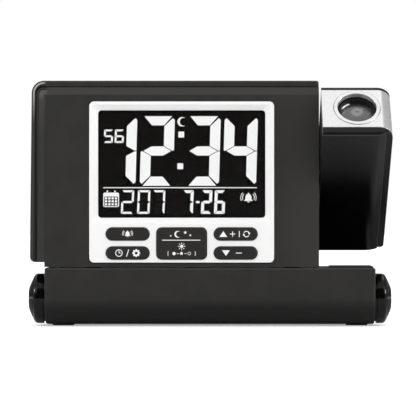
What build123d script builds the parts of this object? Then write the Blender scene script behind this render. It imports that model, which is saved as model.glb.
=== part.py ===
# Projection alarm clock: a display head that leans back on a bar-shaped base, with a
# projector arm that swivels on the head's right side.
# Millimetres. X to the right, Y to the back, Z up. The origin is on the table, midway
# between the end caps, below the axis on which the projector arm swivels.
import os
from math import cos, radians, sin

from build123d import *

os.makedirs("parts", exist_ok=True)

# ---------------------------------------------------------------- driving dimensions
# Base bar
base_length = 132.6
base_height = 22.9
base_front = -12.0
base_back = 28.0
base_wall = 2.0
base_front_radius = 10.0   # lower front edge
base_edge_radius = 0.6     # upper front edge
base_back_radius = 6.0     # upper rear edge
base_heel_radius = 4.0     # lower rear edge
base_end_radius = 0.8      # edges around both ends
deck_rise = 0.8            # raised land below the projector arm
deck_gap = 4.4             # from the head to the land
deck_setback = 1.0
deck_depth = 14.0
deck_radius = 0.7
foot_stand = 0.6           # how far the feet stand out of the base
foot_recess = 0.8
foot_length = 8.5
foot_width = 6.5
foot_edge = 2.5            # from the base's end to a foot
cap_radius = 10.1
cap_band = 3.0             # up to where an end cap's dome starts
cap_reach = 7.0            # how far a cap stands out of the base's end
cap_shoulder_inset = 1.6   # points of the dome, from the cap's rim and from its top
cap_shoulder_drop = 1.95
cap_crown_inset = 4.6
cap_crown_drop = 0.6
cap_groove_width = 0.8     # shadow groove between cap and base
cap_groove_depth = 0.8
cover_margin = 0.8         # around the bottom cover, and around the feet
spigot_radius = 4.0
spigot_length = 5.0

# Tilt hinge between base and head
hinge_y = -1.0
hinge_height = 10.4        # above the base's underside
pin_radius = 1.9
pin_length = 14.5
pin_chamfer = 0.3
lug_radius = 4.5
lug_width = 6.0
lug_left_inset = 25.3      # from the head's left side to the left lug's middle
lug_right_inset = 10.6
washer_thickness = 0.5
washer_radius = 4.0
rib_thickness = 2.0
rib_margin = 1.0           # around a lug
rib_drop = 0.5             # below a lug
slot_room = 2.3            # room behind a lug for the head's backward tilt

# Head
head_overhang = 6.0        # beyond the base's left end
head_right_inset = 22.7    # from the base's right end
head_height = 72.8
head_front = -12.0
head_back = 12.0
head_wall = 2.4
floor_wall = 2.0
back_wall = 2.0
head_corner = 5.0
head_taper = 0.75          # the left side leans in towards the top
head_back_radius = 2.5
rim_setback = 2.0          # rim of the rear housing behind the front face
rim_radius = 1.0
neck_height = 1.9
neck_back = -1.0
neck_gap = 0.4             # between neck and base
bevel_width = 3.2
bevel_depth = 1.6
panel_thickness = 2.2
lip_depth = 1.0
lip_thickness = 1.4

# Display
bezel_width = 73.9
bezel_top_margin = 8.5     # from the head's top to the bezel
bezel_shift = 3.0          # from the head's middle to the bezel's
bezel_drop = 0.1           # how far the bezel reaches below the head's underside
bezel_radius = 1.9
bezel_proud = 0.4
bezel_thickness = 1.8
bezel_rim = 1.2            # flat rim outside the slope
bezel_frame = 3.5          # from the bezel's side to the window
bezel_flange = 1.2
bezel_wall = 1.5
button_field = 17.9        # from the bezel's lower edge to the window
window_radius = 1.4
window_thickness = 1.0
glass_margin = 1.8
glass_thickness = 1.8
backlight_thickness = 2.6
strip_height = 1.4
strip_margin = 0.5

# Buttons
button_proud = 0.8
button_travel = 0.8
button_width = 17.2
button_height = 4.9
button_pitch = 7.6         # between the two rows
button_column = 15.35      # from the bezel's side to a column's middle
button_edge = 0.5
snooze_gap = 3.05          # from the large button to the others
snooze_radius = 2.0
button_row = 3.8           # lower row's middle above the bezel's lower edge
button_flange = 0.6
button_flange_depth = 0.8
stem_width = 3.0
stem_height = 2.0
stem_lift = 1.1            # stem above the middle of a lower button
switch_size = 4.5
switch_height = 4.3

# Boards and screws
board_thickness = 1.6
board_front = -3.0
board_left_gap = 11.9      # from the head's inside to the main board
board_right_gap = 8.2
board_top_gap = 2.2
board_floor_gap = 0.5
board_hole_inset = 3.0
board_hole_lift = 3.0
boss_radius = 2.5
core_radius = 0.9
board_screw_head = 1.9
board_screw_length = 7.0
case_boss_radius = 3.2
case_screw_radius = 1.2
case_screw_head = 2.5
case_screw_length = 10.0
case_boss_gap = 1.0        # from the head's inside to a case boss
case_boss_drop = 2.0
case_boss_lift = 3.0
case_boss_depth = 3.0      # from the board's front to where the case bosses meet
case_screw_land = 3.0      # under a case screw's head
screw_head_height = 1.5
bracket_thickness = 2.0
bracket_gap = 0.6          # behind the main board
bracket_left = 4.0         # beyond the left lug
bracket_right = 2.0        # beyond the right lug
chips = ((-8.0, 60.0, 14.0, 14.0), (12.0, 64.0, 6.0, 5.0), (-30.0, 44.0, 9.0, 6.0), (12.0, 46.0, 11.0, 5.0))
chip_height = 1.8          # chips: middle across, middle up, width, height
buzzer_inset = 20.0        # from the main board's left side and top
buzzer_drop = 28.0
buzzer_radius = 7.0
buzzer_height = 5.0
buzzer_hole = 1.2
buzzer_hole_depth = 1.5
sound_hole = 0.8
sound_pitch = 1.6
sound_rows = 4

# Projector arm, in its own frame: along the arm, and through its thickness
arm_length = 70.4
arm_thickness = 24.8
arm_lean = 48.0            # degrees forward from upright
arm_gap = 0.5              # between head and arm
arm_wall = 1.4
arm_corner = 5.6           # at the lens end
arm_heel_corner = 1.5
arm_back_radius = 0.6
arm_back_layer = 1.7       # dark layer behind the silver nose
arm_cover_thickness = 2.6
arm_cover_inset = 2.6      # raised panel of the cover, from the arm's right side
arm_cover_step = 1.8
arm_cover_bevel = 2.0
arm_cover_lip = 2.4
arm_cover_round = 5.5      # panel's right side, and how far it falls there
arm_cover_fall = 1.2
arm_cover_corner = 2.5
arm_cover_heel = 0.6
arm_boss_gap = 1.0
arm_boss_floor = -3.0      # through the thickness, under the screw heads
arm_screw_length = 9.0
nose_depth = 5.2
nose_wall = 1.8
pivot_lift = 37.0          # above the head's underside
shaft_radius = 4.95
shaft_bore = 3.0
shaft_length = 10.5
shaft_flange_radius = 7.5
shaft_flange = 1.5
bush_radius = 7.0
bush_flange_radius = 8.5
bush_flange = 1.7
ring_thickness = 1.2
ring_radius = 7.4
spring_thickness = 0.7

# Projector optics, along the arm from the pivot
lens_offset = -0.9         # optical axis behind the arm's middle
lens_thickness = 4.2
lens_recess = 2.6          # from the nose's face to the lens's rim
lens_bulge = 1.3
lens_crown_drop = 0.3      # below the barrel's end
barrel_wall = 0.5
barrel_length = 18.0
guide_wall = 1.0
guide_setback = 27.7       # from the nose's face to the guide's inner end
lens_ring_flange = 0.5     # beyond the guide
lens_ring_proud = 0.2
lens_ring_edge = 0.15
focus_gap = 0.4            # from the focus ring to the arm's sides
focus_inset = 0.4          # focus ring's radius short of half the arm's thickness
focus_width = 5.0
focus_setback = 22.2       # from the nose's face to the focus ring
focus_travel = 1.0
focus_notch = 0.4
focus_notches = 36
collar_height = 0.9
clip_thickness = 0.8
follower_radius = 0.8
light_box_start = -15.8
light_box_wall = 1.2
led_radius = 2.4
led_length = 4.6
led_crown = 0.9            # share of the radius
condenser_start = -7.5
condenser_rim = 1.0
condenser_bulge = 2.0
film_thickness = 1.4
film_setback = 5.5         # from the guide's inner end

# Battery compartment and supply board
cell_radius = 5.25
cell_length = 43.5
cell_nub = 1.0
cell_gap = 0.5             # between the cells
cell_edge = 0.6
contact_room = 5.5         # for contacts and springs at both ends
bay_offset = 8.5           # from the left hinge lug to the compartment
notch_inset = 6.0          # finger notch in the door
notch_length = 9.0
notch_width = 3.0
tray_wall = 1.0
door_thickness = 2.0
contact_thickness = 0.4
contact_size = 8.0
supply_left_gap = 0.5      # from the screw bosses to the supply board
supply_right_gap = 1.55
supply_front = 8.0
supply_back_gap = 2.6
supply_lift = 2.0
jack_width = 9.0
jack_height = 11.0
jack_depth = 13.0
jack_inset = 5.0           # from the supply board's right end
jack_bore = 3.2
jack_pin = 1.0
jack_bore_depth = 9.0
base_boss_radius = 3.0
base_boss_gap = 5.0        # from the battery tray

# Clearances
fit = 0.3                  # between separate covers
pin_clearance = 0.08       # pins and shafts in their bores
shaft_clearance = 0.05
slide_clearance = 0.25     # buttons in the bezel, barrel in its guide
seat = 0.1                 # between parts that are held together

joint = 0.5                # how far solids of one piece run into each other
over = 1.0                 # how far cuts run past a face

# ---------------------------------------------------------------- derived places
base_bottom = foot_stand
base_top = base_bottom + base_height
base_end = base_length / 2
hinge_z = base_bottom + hinge_height
head_left = -base_end - head_overhang
head_right = base_end - head_right_inset
neck_left = -base_end
neck_bottom = base_top + neck_gap
head_bottom = neck_bottom + neck_height
head_top = head_bottom + head_height
rim_front = head_front + rim_setback
panel_left = head_left + head_wall + fit
panel_top = head_top - head_wall - fit
panel_back = head_front + panel_thickness
inner_left = head_left + head_wall
inner_right = head_right - head_wall
inner_top = head_top - head_wall
inner_bottom = head_bottom + floor_wall
inner_back = head_back - back_wall
lug_left_x = head_left + lug_left_inset
lug_right_x = head_right - lug_right_inset
lug_places = (lug_left_x, lug_right_x)
pivot_height = head_bottom + pivot_lift

bezel_x = (head_left + head_right) / 2 + bezel_shift
bezel_left = bezel_x - bezel_width / 2
bezel_right = bezel_x + bezel_width / 2
bezel_bottom = head_bottom - bezel_drop
bezel_top = head_top - bezel_top_margin
bezel_front = head_front - bezel_proud
bezel_back = bezel_front + bezel_thickness
window_left = bezel_left + bezel_frame
window_right = bezel_right - bezel_frame
window_top = bezel_top - bezel_frame
window_bottom = bezel_bottom + button_field
window_front = bezel_back + seat
glass_front = window_front + window_thickness + seat
backlight_front = glass_front + glass_thickness + seat
board_back = board_front + board_thickness
board_bottom = inner_bottom + board_floor_gap
board_left = inner_left + board_left_gap
board_right = inner_right - board_right_gap
board_top = inner_top - board_top_gap
buzzer_x = board_left + buzzer_inset
buzzer_z = board_top - buzzer_drop
strip_low = window_bottom - glass_margin + strip_margin
strip_high = window_top + glass_margin - strip_margin

row_low = bezel_bottom + button_row
row_high = row_low + button_pitch
button_spread = bezel_width / 2 - button_column
snooze_width = 2 * (button_spread - snooze_gap) - button_width
button_front = bezel_front - button_proud
flange_front = bezel_back + seat
switch_front = board_front - switch_height
stem_end = switch_front - button_travel - 0.15

arm_half = arm_length / 2
arm_front = arm_thickness / 2
arm_back = -arm_thickness / 2
focus_radius = arm_front - focus_inset
arm_width = 2 * (focus_radius + focus_gap + arm_wall)
arm_left = head_right + arm_gap
arm_right = arm_left + arm_width
cover_back = arm_front - arm_cover_thickness
lens_x = arm_left + arm_width / 2
nose_start = arm_half - nose_depth
nose_back = arm_back + arm_back_layer
nose_inside = arm_half - nose_wall
bush_inner = inner_right - bush_flange
guide_start = arm_half - guide_setback
guide_end = nose_inside - seat
collar_radius = -nose_back + lens_offset - 2 * seat
guide_radius = collar_radius - collar_height
barrel_radius = guide_radius - guide_wall - slide_clearance
lens_radius = barrel_radius - barrel_wall - seat / 2
lens_ring_radius = guide_radius + lens_ring_flange
lens_ring_opening = guide_radius - guide_wall
focus_start = arm_half - focus_setback
light_box_width = 2 * guide_radius - 4 * seat
light_box_inside = light_box_width - 2 * light_box_wall
condenser_radius = light_box_inside / 2 - fit
film_start = guide_start - film_setback

door_bottom = base_bottom
tray_floor = base_bottom + door_thickness
cell_z = tray_floor + fit + cell_radius
tray_top = cell_z + cell_radius + fit + tray_wall

arm_axis = Vector(0, -sin(radians(arm_lean)), cos(radians(arm_lean)))
arm_normal = Vector(0, -cos(radians(arm_lean)), -sin(radians(arm_lean)))
pivot = Vector(0, 0, pivot_height)


# ---------------------------------------------------------------- helpers
def facing(y):
    """Plane at depth y that faces the front: sketch x is X, sketch y is Z."""
    return Plane.XZ.offset(-y)


def across(x):
    """Plane at x that faces right: sketch x is Y, sketch y is Z."""
    return Plane.YZ.offset(x)


def level(z):
    """Plane at height z that faces up."""
    return Plane.XY.offset(z)


def on_arm(depth):
    """Plane through the arm's thickness: sketch x is X, sketch y is along the arm."""
    return Plane(origin=pivot + arm_normal * depth, x_dir=(1, 0, 0), z_dir=arm_normal)


def on_lens(distance, x=lens_x, depth=lens_offset):
    """Plane across the arm at a distance from its pivot, facing the nose."""
    origin = pivot + Vector(x, 0, 0) + arm_axis * distance + arm_normal * depth
    return Plane(origin=origin, x_dir=(1, 0, 0), z_dir=arm_axis)


def panel(left, right, bottom, top, radius=0.0, mode=Mode.ADD):
    """A rectangle given by its four sides, in the open sketch."""
    with Locations(((left + right) / 2, (bottom + top) / 2)):
        if radius > 0:
            RectangleRounded(right - left, top - bottom, radius, mode=mode)
        else:
            Rectangle(right - left, top - bottom, mode=mode)


def save(piece, name):
    """Label a finished piece and write its STEP file."""
    piece.part.label = name
    export_step(piece.part, f"parts/{name}.step")
    print(name, len(piece.part.solids()), "solid(s)")


def bar_profile(inset):
    """The base's cross-section, made smaller all round by inset."""
    front, back = base_front + inset, base_back - inset
    low, high = base_bottom + inset, base_top - inset
    corners = (
        ((front, low), base_front_radius),
        ((front, high), base_edge_radius),
        ((back, high), base_back_radius),
        ((back, low), base_heel_radius),
    )
    with BuildSketch(Plane.XY, mode=Mode.PRIVATE) as outline:
        panel(front, back, low, high)
        for corner, radius in corners:
            if radius > inset:
                fillet(outline.vertices().sort_by_distance((*corner, 0))[0], radius - inset)
    return outline.sketch


# ---------------------------------------------------------------- base bar
cover_front = base_front + base_front_radius + cover_margin
cover_back_edge = base_back - base_heel_radius - cover_margin
cover_end = base_end - base_wall - fit
cell_pitch = 2 * cell_radius + cell_gap
bay_length = cell_length + cell_nub + contact_room
bay_width = 2 * cell_pitch
bay_left = lug_left_x + bay_offset
bay_right = bay_left + bay_length
bay_back = cover_back_edge - fit - tray_wall
bay_front = bay_back - bay_width
rib_low = hinge_z - lug_radius - rib_drop
rib_front = hinge_y - lug_radius - rib_margin
rib_back = hinge_y + lug_radius + rib_margin
lug_side = lug_width / 2
rib_offset = lug_side + 2 * seat + washer_thickness + rib_thickness / 2
slot_front = hinge_y - lug_radius - fit
slot_back = hinge_y + lug_radius + slot_room + fit
ceiling = base_top - base_wall
boss_end = tray_floor + seat
foot_outer = base_end - foot_edge
foot_rows = (cover_front + foot_width / 2 + cover_margin, cover_back_edge - foot_width / 2 - cover_margin)
foot_middle = sum(foot_rows) / 2
foot_x = foot_outer - foot_length / 2
boss_x = bay_right + tray_wall + base_boss_gap + base_boss_radius
base_screws_at = [(-foot_x, foot_middle), (foot_x, foot_middle)] + [(boss_x, row) for row in foot_rows]
feet_at = [(side * foot_x, row) for side in (-1, 1) for row in foot_rows]
supply_left = boss_x + base_boss_radius + supply_left_gap
supply_right = foot_x - base_boss_radius - supply_right_gap
supply_back = base_back - supply_back_gap
jack_x = supply_right - jack_inset
jack_left = jack_x - jack_width / 2
jack_right = jack_x + jack_width / 2
jack_bottom = tray_floor + supply_lift + board_thickness

base_outer = bar_profile(0)
base_inner = bar_profile(base_wall)

with BuildPart() as base_housing:
    with BuildSketch(across(-base_end)):
        add(base_outer)
    extrude(amount=base_length)
    ends = base_housing.faces().filter_by(Axis.X).sort_by(Axis.X)
    fillet(ends[0].edges() + ends[-1].edges(), base_end_radius)
    with BuildPart(mode=Mode.PRIVATE) as deck:
        with BuildSketch(level(base_top - joint)):
            panel(head_right + deck_gap, base_end - base_end_radius, base_front + deck_setback,
                  base_front + deck_setback + deck_depth)
        extrude(amount=joint + deck_rise)
        fillet(deck.faces().sort_by(Axis.Z)[-1].edges(), deck_radius)
    add(deck.part)
    with BuildSketch(across(-base_end + base_wall)):
        add(base_inner)
    extrude(amount=base_length - 2 * base_wall, mode=Mode.SUBTRACT)
    # open underside for the cover
    with BuildSketch(level(base_bottom - over)):
        panel(-cover_end - fit, cover_end + fit, cover_front - fit, cover_back_edge + fit)
    extrude(amount=base_wall + 2 * over, mode=Mode.SUBTRACT)
    # slots for the hinge lugs, and the ribs that hold the pins
    for lug_x in lug_places:
        with BuildSketch(level(ceiling - over)):
            panel(lug_x - lug_side - fit, lug_x + lug_side + fit, slot_front, slot_back)
        extrude(amount=base_wall + 2 * over, mode=Mode.SUBTRACT)
        for side in (-1, 1):
            with BuildSketch(across(lug_x + side * rib_offset - rib_thickness / 2)):
                panel(rib_front, rib_back, rib_low, ceiling + joint)
            extrude(amount=rib_thickness)
        with BuildSketch(across(lug_x - pin_length / 2)):
            with Locations((hinge_y, hinge_z)):
                Circle(pin_radius + shaft_clearance / 2)
        extrude(amount=pin_length, mode=Mode.SUBTRACT)
    # screw bosses that hang from the top
    with BuildSketch(level(boss_end)):
        with Locations(*base_screws_at):
            Circle(base_boss_radius)
    extrude(amount=ceiling + joint - boss_end)
    with BuildSketch(level(boss_end)):
        with Locations(*base_screws_at):
            Circle(case_screw_radius)
    extrude(amount=case_screw_length, mode=Mode.SUBTRACT)
    # end holes for the caps' spigots, and the opening for the supply socket
    for side in (-1, 1):
        with BuildSketch(across(side * base_end)):
            with Locations((hinge_y, hinge_z)):
                Circle(spigot_radius)
        extrude(amount=-side * base_wall, mode=Mode.SUBTRACT)
    with BuildSketch(facing(base_back + over)):
        panel(jack_left - fit, jack_right + fit, jack_bottom - fit, jack_bottom + jack_height + fit)
    extrude(amount=base_wall + 2 * over, mode=Mode.SUBTRACT)
save(base_housing, "base_housing")

with BuildPart() as base_bottom_cover:
    with BuildSketch(level(base_bottom)):
        panel(-cover_end, cover_end, cover_front, cover_back_edge)
    extrude(amount=door_thickness)
    # battery tray around the opening for the door
    with BuildSketch(level(tray_floor)):
        panel(bay_left - tray_wall, bay_right + tray_wall, bay_front - tray_wall, bay_back + tray_wall)
    extrude(amount=tray_top - tray_floor)
    with BuildSketch(level(base_bottom)):
        panel(bay_left, bay_right, bay_front, bay_back)
    extrude(amount=tray_top - tray_wall - base_bottom, mode=Mode.SUBTRACT)
    # posts for the supply board
    with BuildSketch(level(tray_floor)):
        with Locations(*[(x, (supply_front + supply_back) / 2) for x in
                         (supply_left + boss_radius, jack_left - boss_radius)]):
            Circle(boss_radius)
    extrude(amount=supply_lift)
    # pockets for the feet
    with BuildSketch(level(base_bottom)):
        with Locations(*feet_at):
            Rectangle(foot_length, foot_width)
    extrude(amount=foot_recess, mode=Mode.SUBTRACT)
    # screws come from below
    with Locations(*[Location((x, y, base_bottom), (180, 0, 0)) for x, y in base_screws_at]):
        CounterBoreHole(case_screw_radius, case_screw_head + fit, screw_head_height / 2, door_thickness)
save(base_bottom_cover, "base_bottom_cover")

with BuildPart() as base_screws:
    for x, y in base_screws_at:
        with BuildSketch(level(base_bottom)):
            with Locations((x, y)):
                Circle(case_screw_head)
        extrude(amount=screw_head_height / 2)
        with BuildSketch(level(base_bottom)):
            with Locations((x, y)):
                Circle(case_screw_radius)
        extrude(amount=case_screw_length)
save(base_screws, "base_screws")

with BuildPart() as rubber_feet:
    with BuildSketch(level(0)):
        with Locations(*feet_at):
            RectangleRounded(foot_length, foot_width, foot_width / 5)
    extrude(amount=foot_stand + foot_recess)
save(rubber_feet, "rubber_feet")

with BuildPart() as battery_door:
    with BuildSketch(level(door_bottom)):
        panel(bay_left + fit, bay_right - fit, bay_front + fit, bay_back - fit, fit)
    extrude(amount=door_thickness)
    # finger notch at the opening end
    with BuildSketch(level(door_bottom)):
        with Locations((bay_right - notch_inset, (bay_front + bay_back) / 2)):
            SlotOverall(notch_length, notch_width, rotation=90)
    extrude(amount=door_thickness / 2, mode=Mode.SUBTRACT)
save(battery_door, "battery_door")

cell_rows = (bay_front + cell_pitch / 2, bay_back - cell_pitch / 2)
cell_left = bay_left + (bay_length - cell_length - cell_nub) / 2
with BuildPart() as battery_cells:
    with BuildSketch(across(cell_left)):
        with Locations(*[(y, cell_z) for y in cell_rows]):
            Circle(cell_radius)
    extrude(amount=cell_length)
    fillet(battery_cells.edges().filter_by(GeomType.CIRCLE), cell_edge)
    with BuildSketch(across(cell_left + cell_length)):
        with Locations(*[(y, cell_z) for y in cell_rows]):
            Circle(cell_radius / 2)
    extrude(amount=cell_nub)
save(battery_cells, "battery_cells")

# contact plates with a spring at the flat end of each cell
with BuildPart() as battery_contacts:
    for y in cell_rows:
        for start, reach in ((bay_left, cell_left - bay_left - seat),
                             (bay_right, cell_left + cell_length + cell_nub + seat - bay_right)):
            outward = 1 if reach > 0 else -1
            with BuildSketch(across(start + outward * seat)):
                with Locations((y, cell_z)):
                    Rectangle(contact_size, contact_size)
            extrude(amount=outward * contact_thickness)
            with BuildSketch(across(start + outward * seat)):
                with Locations((y, cell_z)):
                    Circle(cell_radius / 2)
            extrude(amount=reach - outward * seat)
save(battery_contacts, "battery_contacts")

with BuildPart() as supply_board:
    with BuildSketch(level(tray_floor + supply_lift)):
        panel(supply_left, supply_right, supply_front, supply_back)
    extrude(amount=board_thickness)
save(supply_board, "supply_board")

with BuildPart() as supply_socket:
    with BuildSketch(facing(base_back - seat)):
        panel(jack_left, jack_right, jack_bottom, jack_bottom + jack_height)
    extrude(amount=jack_depth)
    with BuildSketch(facing(base_back - seat)):
        with Locations((jack_x, jack_bottom + jack_height / 2)):
            Circle(jack_bore)
            Circle(jack_pin, mode=Mode.SUBTRACT)
    extrude(amount=jack_bore_depth, mode=Mode.SUBTRACT)
save(supply_socket, "supply_socket")

for name, side in (("end_cap_left", -1), ("end_cap_right", 1)):
    with BuildPart() as end_cap:
        with BuildSketch(Plane(origin=(side * base_end, hinge_y, hinge_z), x_dir=(0, 1, 0),
                               z_dir=(0, 0, 1))) as section:
            with BuildLine():
                neck = cap_radius - cap_groove_depth
                rim = (cap_radius, -side * cap_band)
                shoulder = (cap_radius - cap_shoulder_inset, -side * (cap_reach - cap_shoulder_drop))
                crown = (cap_radius - cap_crown_inset, -side * (cap_reach - cap_crown_drop))
                top = (0, -side * cap_reach)
                Polyline((0, 0), (neck, 0), (neck, -side * cap_groove_width),
                         (cap_radius, -side * cap_groove_width), rim)
                Spline(rim, shoulder, crown, top, tangents=((0, -side), (-1, 0)))
                Line(top, (0, 0))
            make_face()
        revolve(axis=Axis((side * base_end, hinge_y, hinge_z), (1, 0, 0)))
        with BuildSketch(across(side * base_end)):
            with Locations((hinge_y, hinge_z)):
                Circle(spigot_radius - seat / 2)
        extrude(amount=-side * spigot_length)
    save(end_cap, name)

for name, lug_x in (("hinge_pin_left", lug_left_x), ("hinge_pin_right", lug_right_x)):
    with BuildPart() as hinge_pin:
        with BuildSketch(across(lug_x - pin_length / 2)):
            with Locations((hinge_y, hinge_z)):
                Circle(pin_radius)
        extrude(amount=pin_length)
        chamfer(hinge_pin.edges(), pin_chamfer)
    save(hinge_pin, name)

with BuildPart() as hinge_washers:
    for lug_x in lug_places:
        for side in (-1, 1):
            washer_middle = lug_x + side * (lug_side + seat + washer_thickness / 2)
            with BuildSketch(across(washer_middle - washer_thickness / 2)):
                with Locations((hinge_y, hinge_z)):
                    Circle(washer_radius)
                    Circle(pin_radius + seat, mode=Mode.SUBTRACT)
            extrude(amount=washer_thickness)
save(hinge_washers, "hinge_washers")


# ---------------------------------------------------------------- head
case_inset = case_boss_radius + case_boss_gap
case_screws_at = [(x, z) for x in (inner_left + case_inset, inner_right - case_inset)
                  for z in (inner_top - case_boss_radius - case_boss_drop,
                            inner_bottom + case_boss_radius + case_boss_lift)]
board_screws_at = [(x, z) for x in (board_left + board_hole_inset, board_right - board_hole_inset)
                   for z in (board_bottom + board_hole_inset + board_hole_lift, board_top - board_hole_inset)]
case_boss_front = board_front + case_boss_depth
case_boss_floor = case_boss_front + case_screw_land
lug_slot = lug_side + fit

with BuildPart() as front_housing:
    # flat plate with a locating lip behind it
    with BuildSketch(facing(panel_back)) as plate:
        panel(panel_left, head_right, head_bottom, panel_top)
        corner = plate.vertices().sort_by_distance((panel_left, panel_top, 0))[0]
        fillet(corner, head_corner - head_wall)
    extrude(amount=panel_thickness - bevel_depth)
    # bevel along the top and the left side
    with BuildSketch(facing(head_front + bevel_depth)) as wide:
        panel(panel_left, head_right, head_bottom, panel_top)
        corner = wide.vertices().sort_by_distance((panel_left, panel_top, 0))[0]
        fillet(corner, head_corner - head_wall)
    with BuildSketch(facing(head_front)) as narrow:
        panel(panel_left + bevel_width, head_right, head_bottom, panel_top - bevel_width)
        corner = narrow.vertices().sort_by_distance((panel_left + bevel_width, panel_top - bevel_width, 0))[0]
        fillet(corner, fit)
    loft(ruled=True)
    with BuildSketch(facing(panel_back + lip_depth)) as lip:
        panel(panel_left, inner_right - fit, inner_bottom + fit, panel_top)
        corner = lip.vertices().sort_by_distance((panel_left, panel_top, 0))[0]
        fillet(corner, head_corner - head_wall)
        panel(panel_left + lip_thickness, inner_right - fit - lip_thickness, inner_bottom,
              panel_top - lip_thickness, mode=Mode.SUBTRACT)
    extrude(amount=lip_depth)
    # neck that closes the gap to the base
    with BuildSketch(across(neck_left)):
        panel(head_front, neck_back, neck_bottom, head_bottom - seat * 2)
        panel(head_front, panel_back, head_bottom - seat * 3, head_bottom + seat)
    extrude(amount=head_right - neck_left)
    for lug_x in lug_places:
        with BuildSketch(level(neck_bottom - over)):
            panel(lug_x - lug_slot, lug_x + lug_slot, slot_front, neck_back + over)
        extrude(amount=neck_height + 2 * over, mode=Mode.SUBTRACT)
    # opening for the bezel
    with BuildSketch(facing(panel_back)):
        panel(bezel_left - fit, bezel_right + fit, bezel_bottom - fit, bezel_top + fit,
              bezel_radius + fit)
    extrude(amount=panel_thickness, mode=Mode.SUBTRACT)
    # bosses for the main board and for the case screws
    with BuildSketch(facing(board_front)):
        with Locations(*board_screws_at):
            Circle(boss_radius)
    extrude(amount=board_front - panel_back + seat)
    with BuildSketch(facing(board_front)):
        with Locations(*board_screws_at):
            Circle(core_radius)
    extrude(amount=board_screw_length - board_thickness, mode=Mode.SUBTRACT)
    with BuildSketch(facing(case_boss_front)):
        with Locations(*case_screws_at):
            Circle(case_boss_radius)
    extrude(amount=case_boss_front - panel_back + seat)
    with BuildSketch(facing(case_boss_front)):
        with Locations(*case_screws_at):
            Circle(case_screw_radius)
    extrude(amount=case_screw_length - case_boss_floor + case_boss_front, mode=Mode.SUBTRACT)
save(front_housing, "front_housing")

with BuildPart() as rear_housing:
    with BuildSketch(facing(head_back)) as outer:
        with BuildLine():
            Polyline((head_left, head_bottom), (head_right, head_bottom), (head_right, head_top),
                     (head_left + head_taper, head_top), close=True)
        make_face()
        for corner, radius in (((head_left, head_top), head_corner), ((head_right, head_top), rim_radius),
                               ((head_left, head_bottom), rim_radius * 2)):
            fillet(outer.vertices().sort_by_distance((*corner, 0))[0], radius)
    extrude(amount=head_back - rim_front)
    back_face = rear_housing.faces().filter_by(Axis.Y).sort_by(Axis.Y)[-1]
    fillet(back_face.edges(), head_back_radius)
    rim_face = rear_housing.faces().filter_by(Axis.Y).sort_by(Axis.Y)[0]
    rim_edges = rim_face.edges().filter_by(lambda edge: edge.center().X < head_right - seat
                                           and edge.center().Z > head_bottom + seat)
    fillet(rim_edges, rim_radius)
    with BuildSketch(facing(inner_back)) as hollow:
        panel(inner_left, inner_right, inner_bottom, inner_top)
        corner = hollow.vertices().sort_by_distance((inner_left, inner_top, 0))[0]
        fillet(corner, head_corner - head_wall)
    extrude(amount=inner_back - rim_front, mode=Mode.SUBTRACT)
    # the front panel lies over the right wall and the floor
    with BuildSketch(facing(panel_back + fit)):
        panel(inner_right - over, head_right + over, head_bottom - over, inner_top)
    extrude(amount=panel_back + fit - rim_front, mode=Mode.SUBTRACT)
    with BuildSketch(facing(panel_back + lip_depth + fit)):
        panel(inner_left, head_right + over, head_bottom - over, inner_bottom)
    extrude(amount=panel_back + lip_depth + fit - rim_front, mode=Mode.SUBTRACT)
    # slots for the hinge lugs
    for lug_x in lug_places:
        with BuildSketch(level(head_bottom - over)):
            panel(lug_x - lug_slot, lug_x + lug_slot, slot_front, hinge_y + lug_radius + fit)
        extrude(amount=floor_wall + 2 * over, mode=Mode.SUBTRACT)
    # bosses and counterbored holes for the case screws
    with BuildSketch(facing(inner_back + seat)):
        with Locations(*case_screws_at):
            Circle(case_boss_radius)
    extrude(amount=inner_back - case_boss_front)
    with BuildSketch(facing(head_back)):
        with Locations(*case_screws_at):
            Circle(case_screw_head + fit)
    extrude(amount=head_back - case_boss_floor, mode=Mode.SUBTRACT)
    with BuildSketch(facing(head_back)):
        with Locations(*case_screws_at):
            Circle(case_screw_radius)
    extrude(amount=head_back - case_boss_front, mode=Mode.SUBTRACT)
    # hole for the projector's bush
    with BuildSketch(across(inner_right - over)):
        with Locations((0, pivot_height)):
            Circle(bush_radius)
    extrude(amount=head_wall + 2 * over, mode=Mode.SUBTRACT)
    # sound holes behind the buzzer
    with BuildSketch(facing(head_back)):
        with Locations((buzzer_x, buzzer_z)):
            with HexLocations(sound_pitch, sound_rows, sound_rows):
                Circle(sound_hole)
    extrude(amount=back_wall, mode=Mode.SUBTRACT)
save(rear_housing, "rear_housing")

with BuildPart() as case_screws:
    for x, z in case_screws_at:
        with BuildSketch(facing(case_boss_floor + screw_head_height)):
            with Locations((x, z)):
                Circle(case_screw_head)
        extrude(amount=screw_head_height)
        with BuildSketch(facing(case_boss_floor)):
            with Locations((x, z)):
                Circle(case_screw_radius)
        extrude(amount=case_screw_length)
save(case_screws, "case_screws")

# bracket inside the head with two lugs that reach down to the hinge pins
bracket_front = board_back + bracket_gap
bracket_back = inner_back - fit
with BuildPart() as hinge_bracket:
    with BuildSketch(level(inner_bottom)):
        panel(lug_left_x - lug_side - bracket_left, lug_right_x + lug_side + bracket_right,
              bracket_front, bracket_back)
    extrude(amount=bracket_thickness)
    for lug_x in lug_places:
        with BuildSketch(across(lug_x - lug_side)):
            with Locations((hinge_y, hinge_z)):
                Circle(lug_radius)
            panel(hinge_y - lug_radius, hinge_y + lug_radius, hinge_z, inner_bottom - seat)
            panel(bracket_front, hinge_y + lug_radius, hinge_z, inner_bottom + bracket_thickness)
            with Locations((hinge_y, hinge_z)):
                Circle(pin_radius + pin_clearance, mode=Mode.SUBTRACT)
        extrude(amount=lug_width)
save(hinge_bracket, "hinge_bracket")

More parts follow.
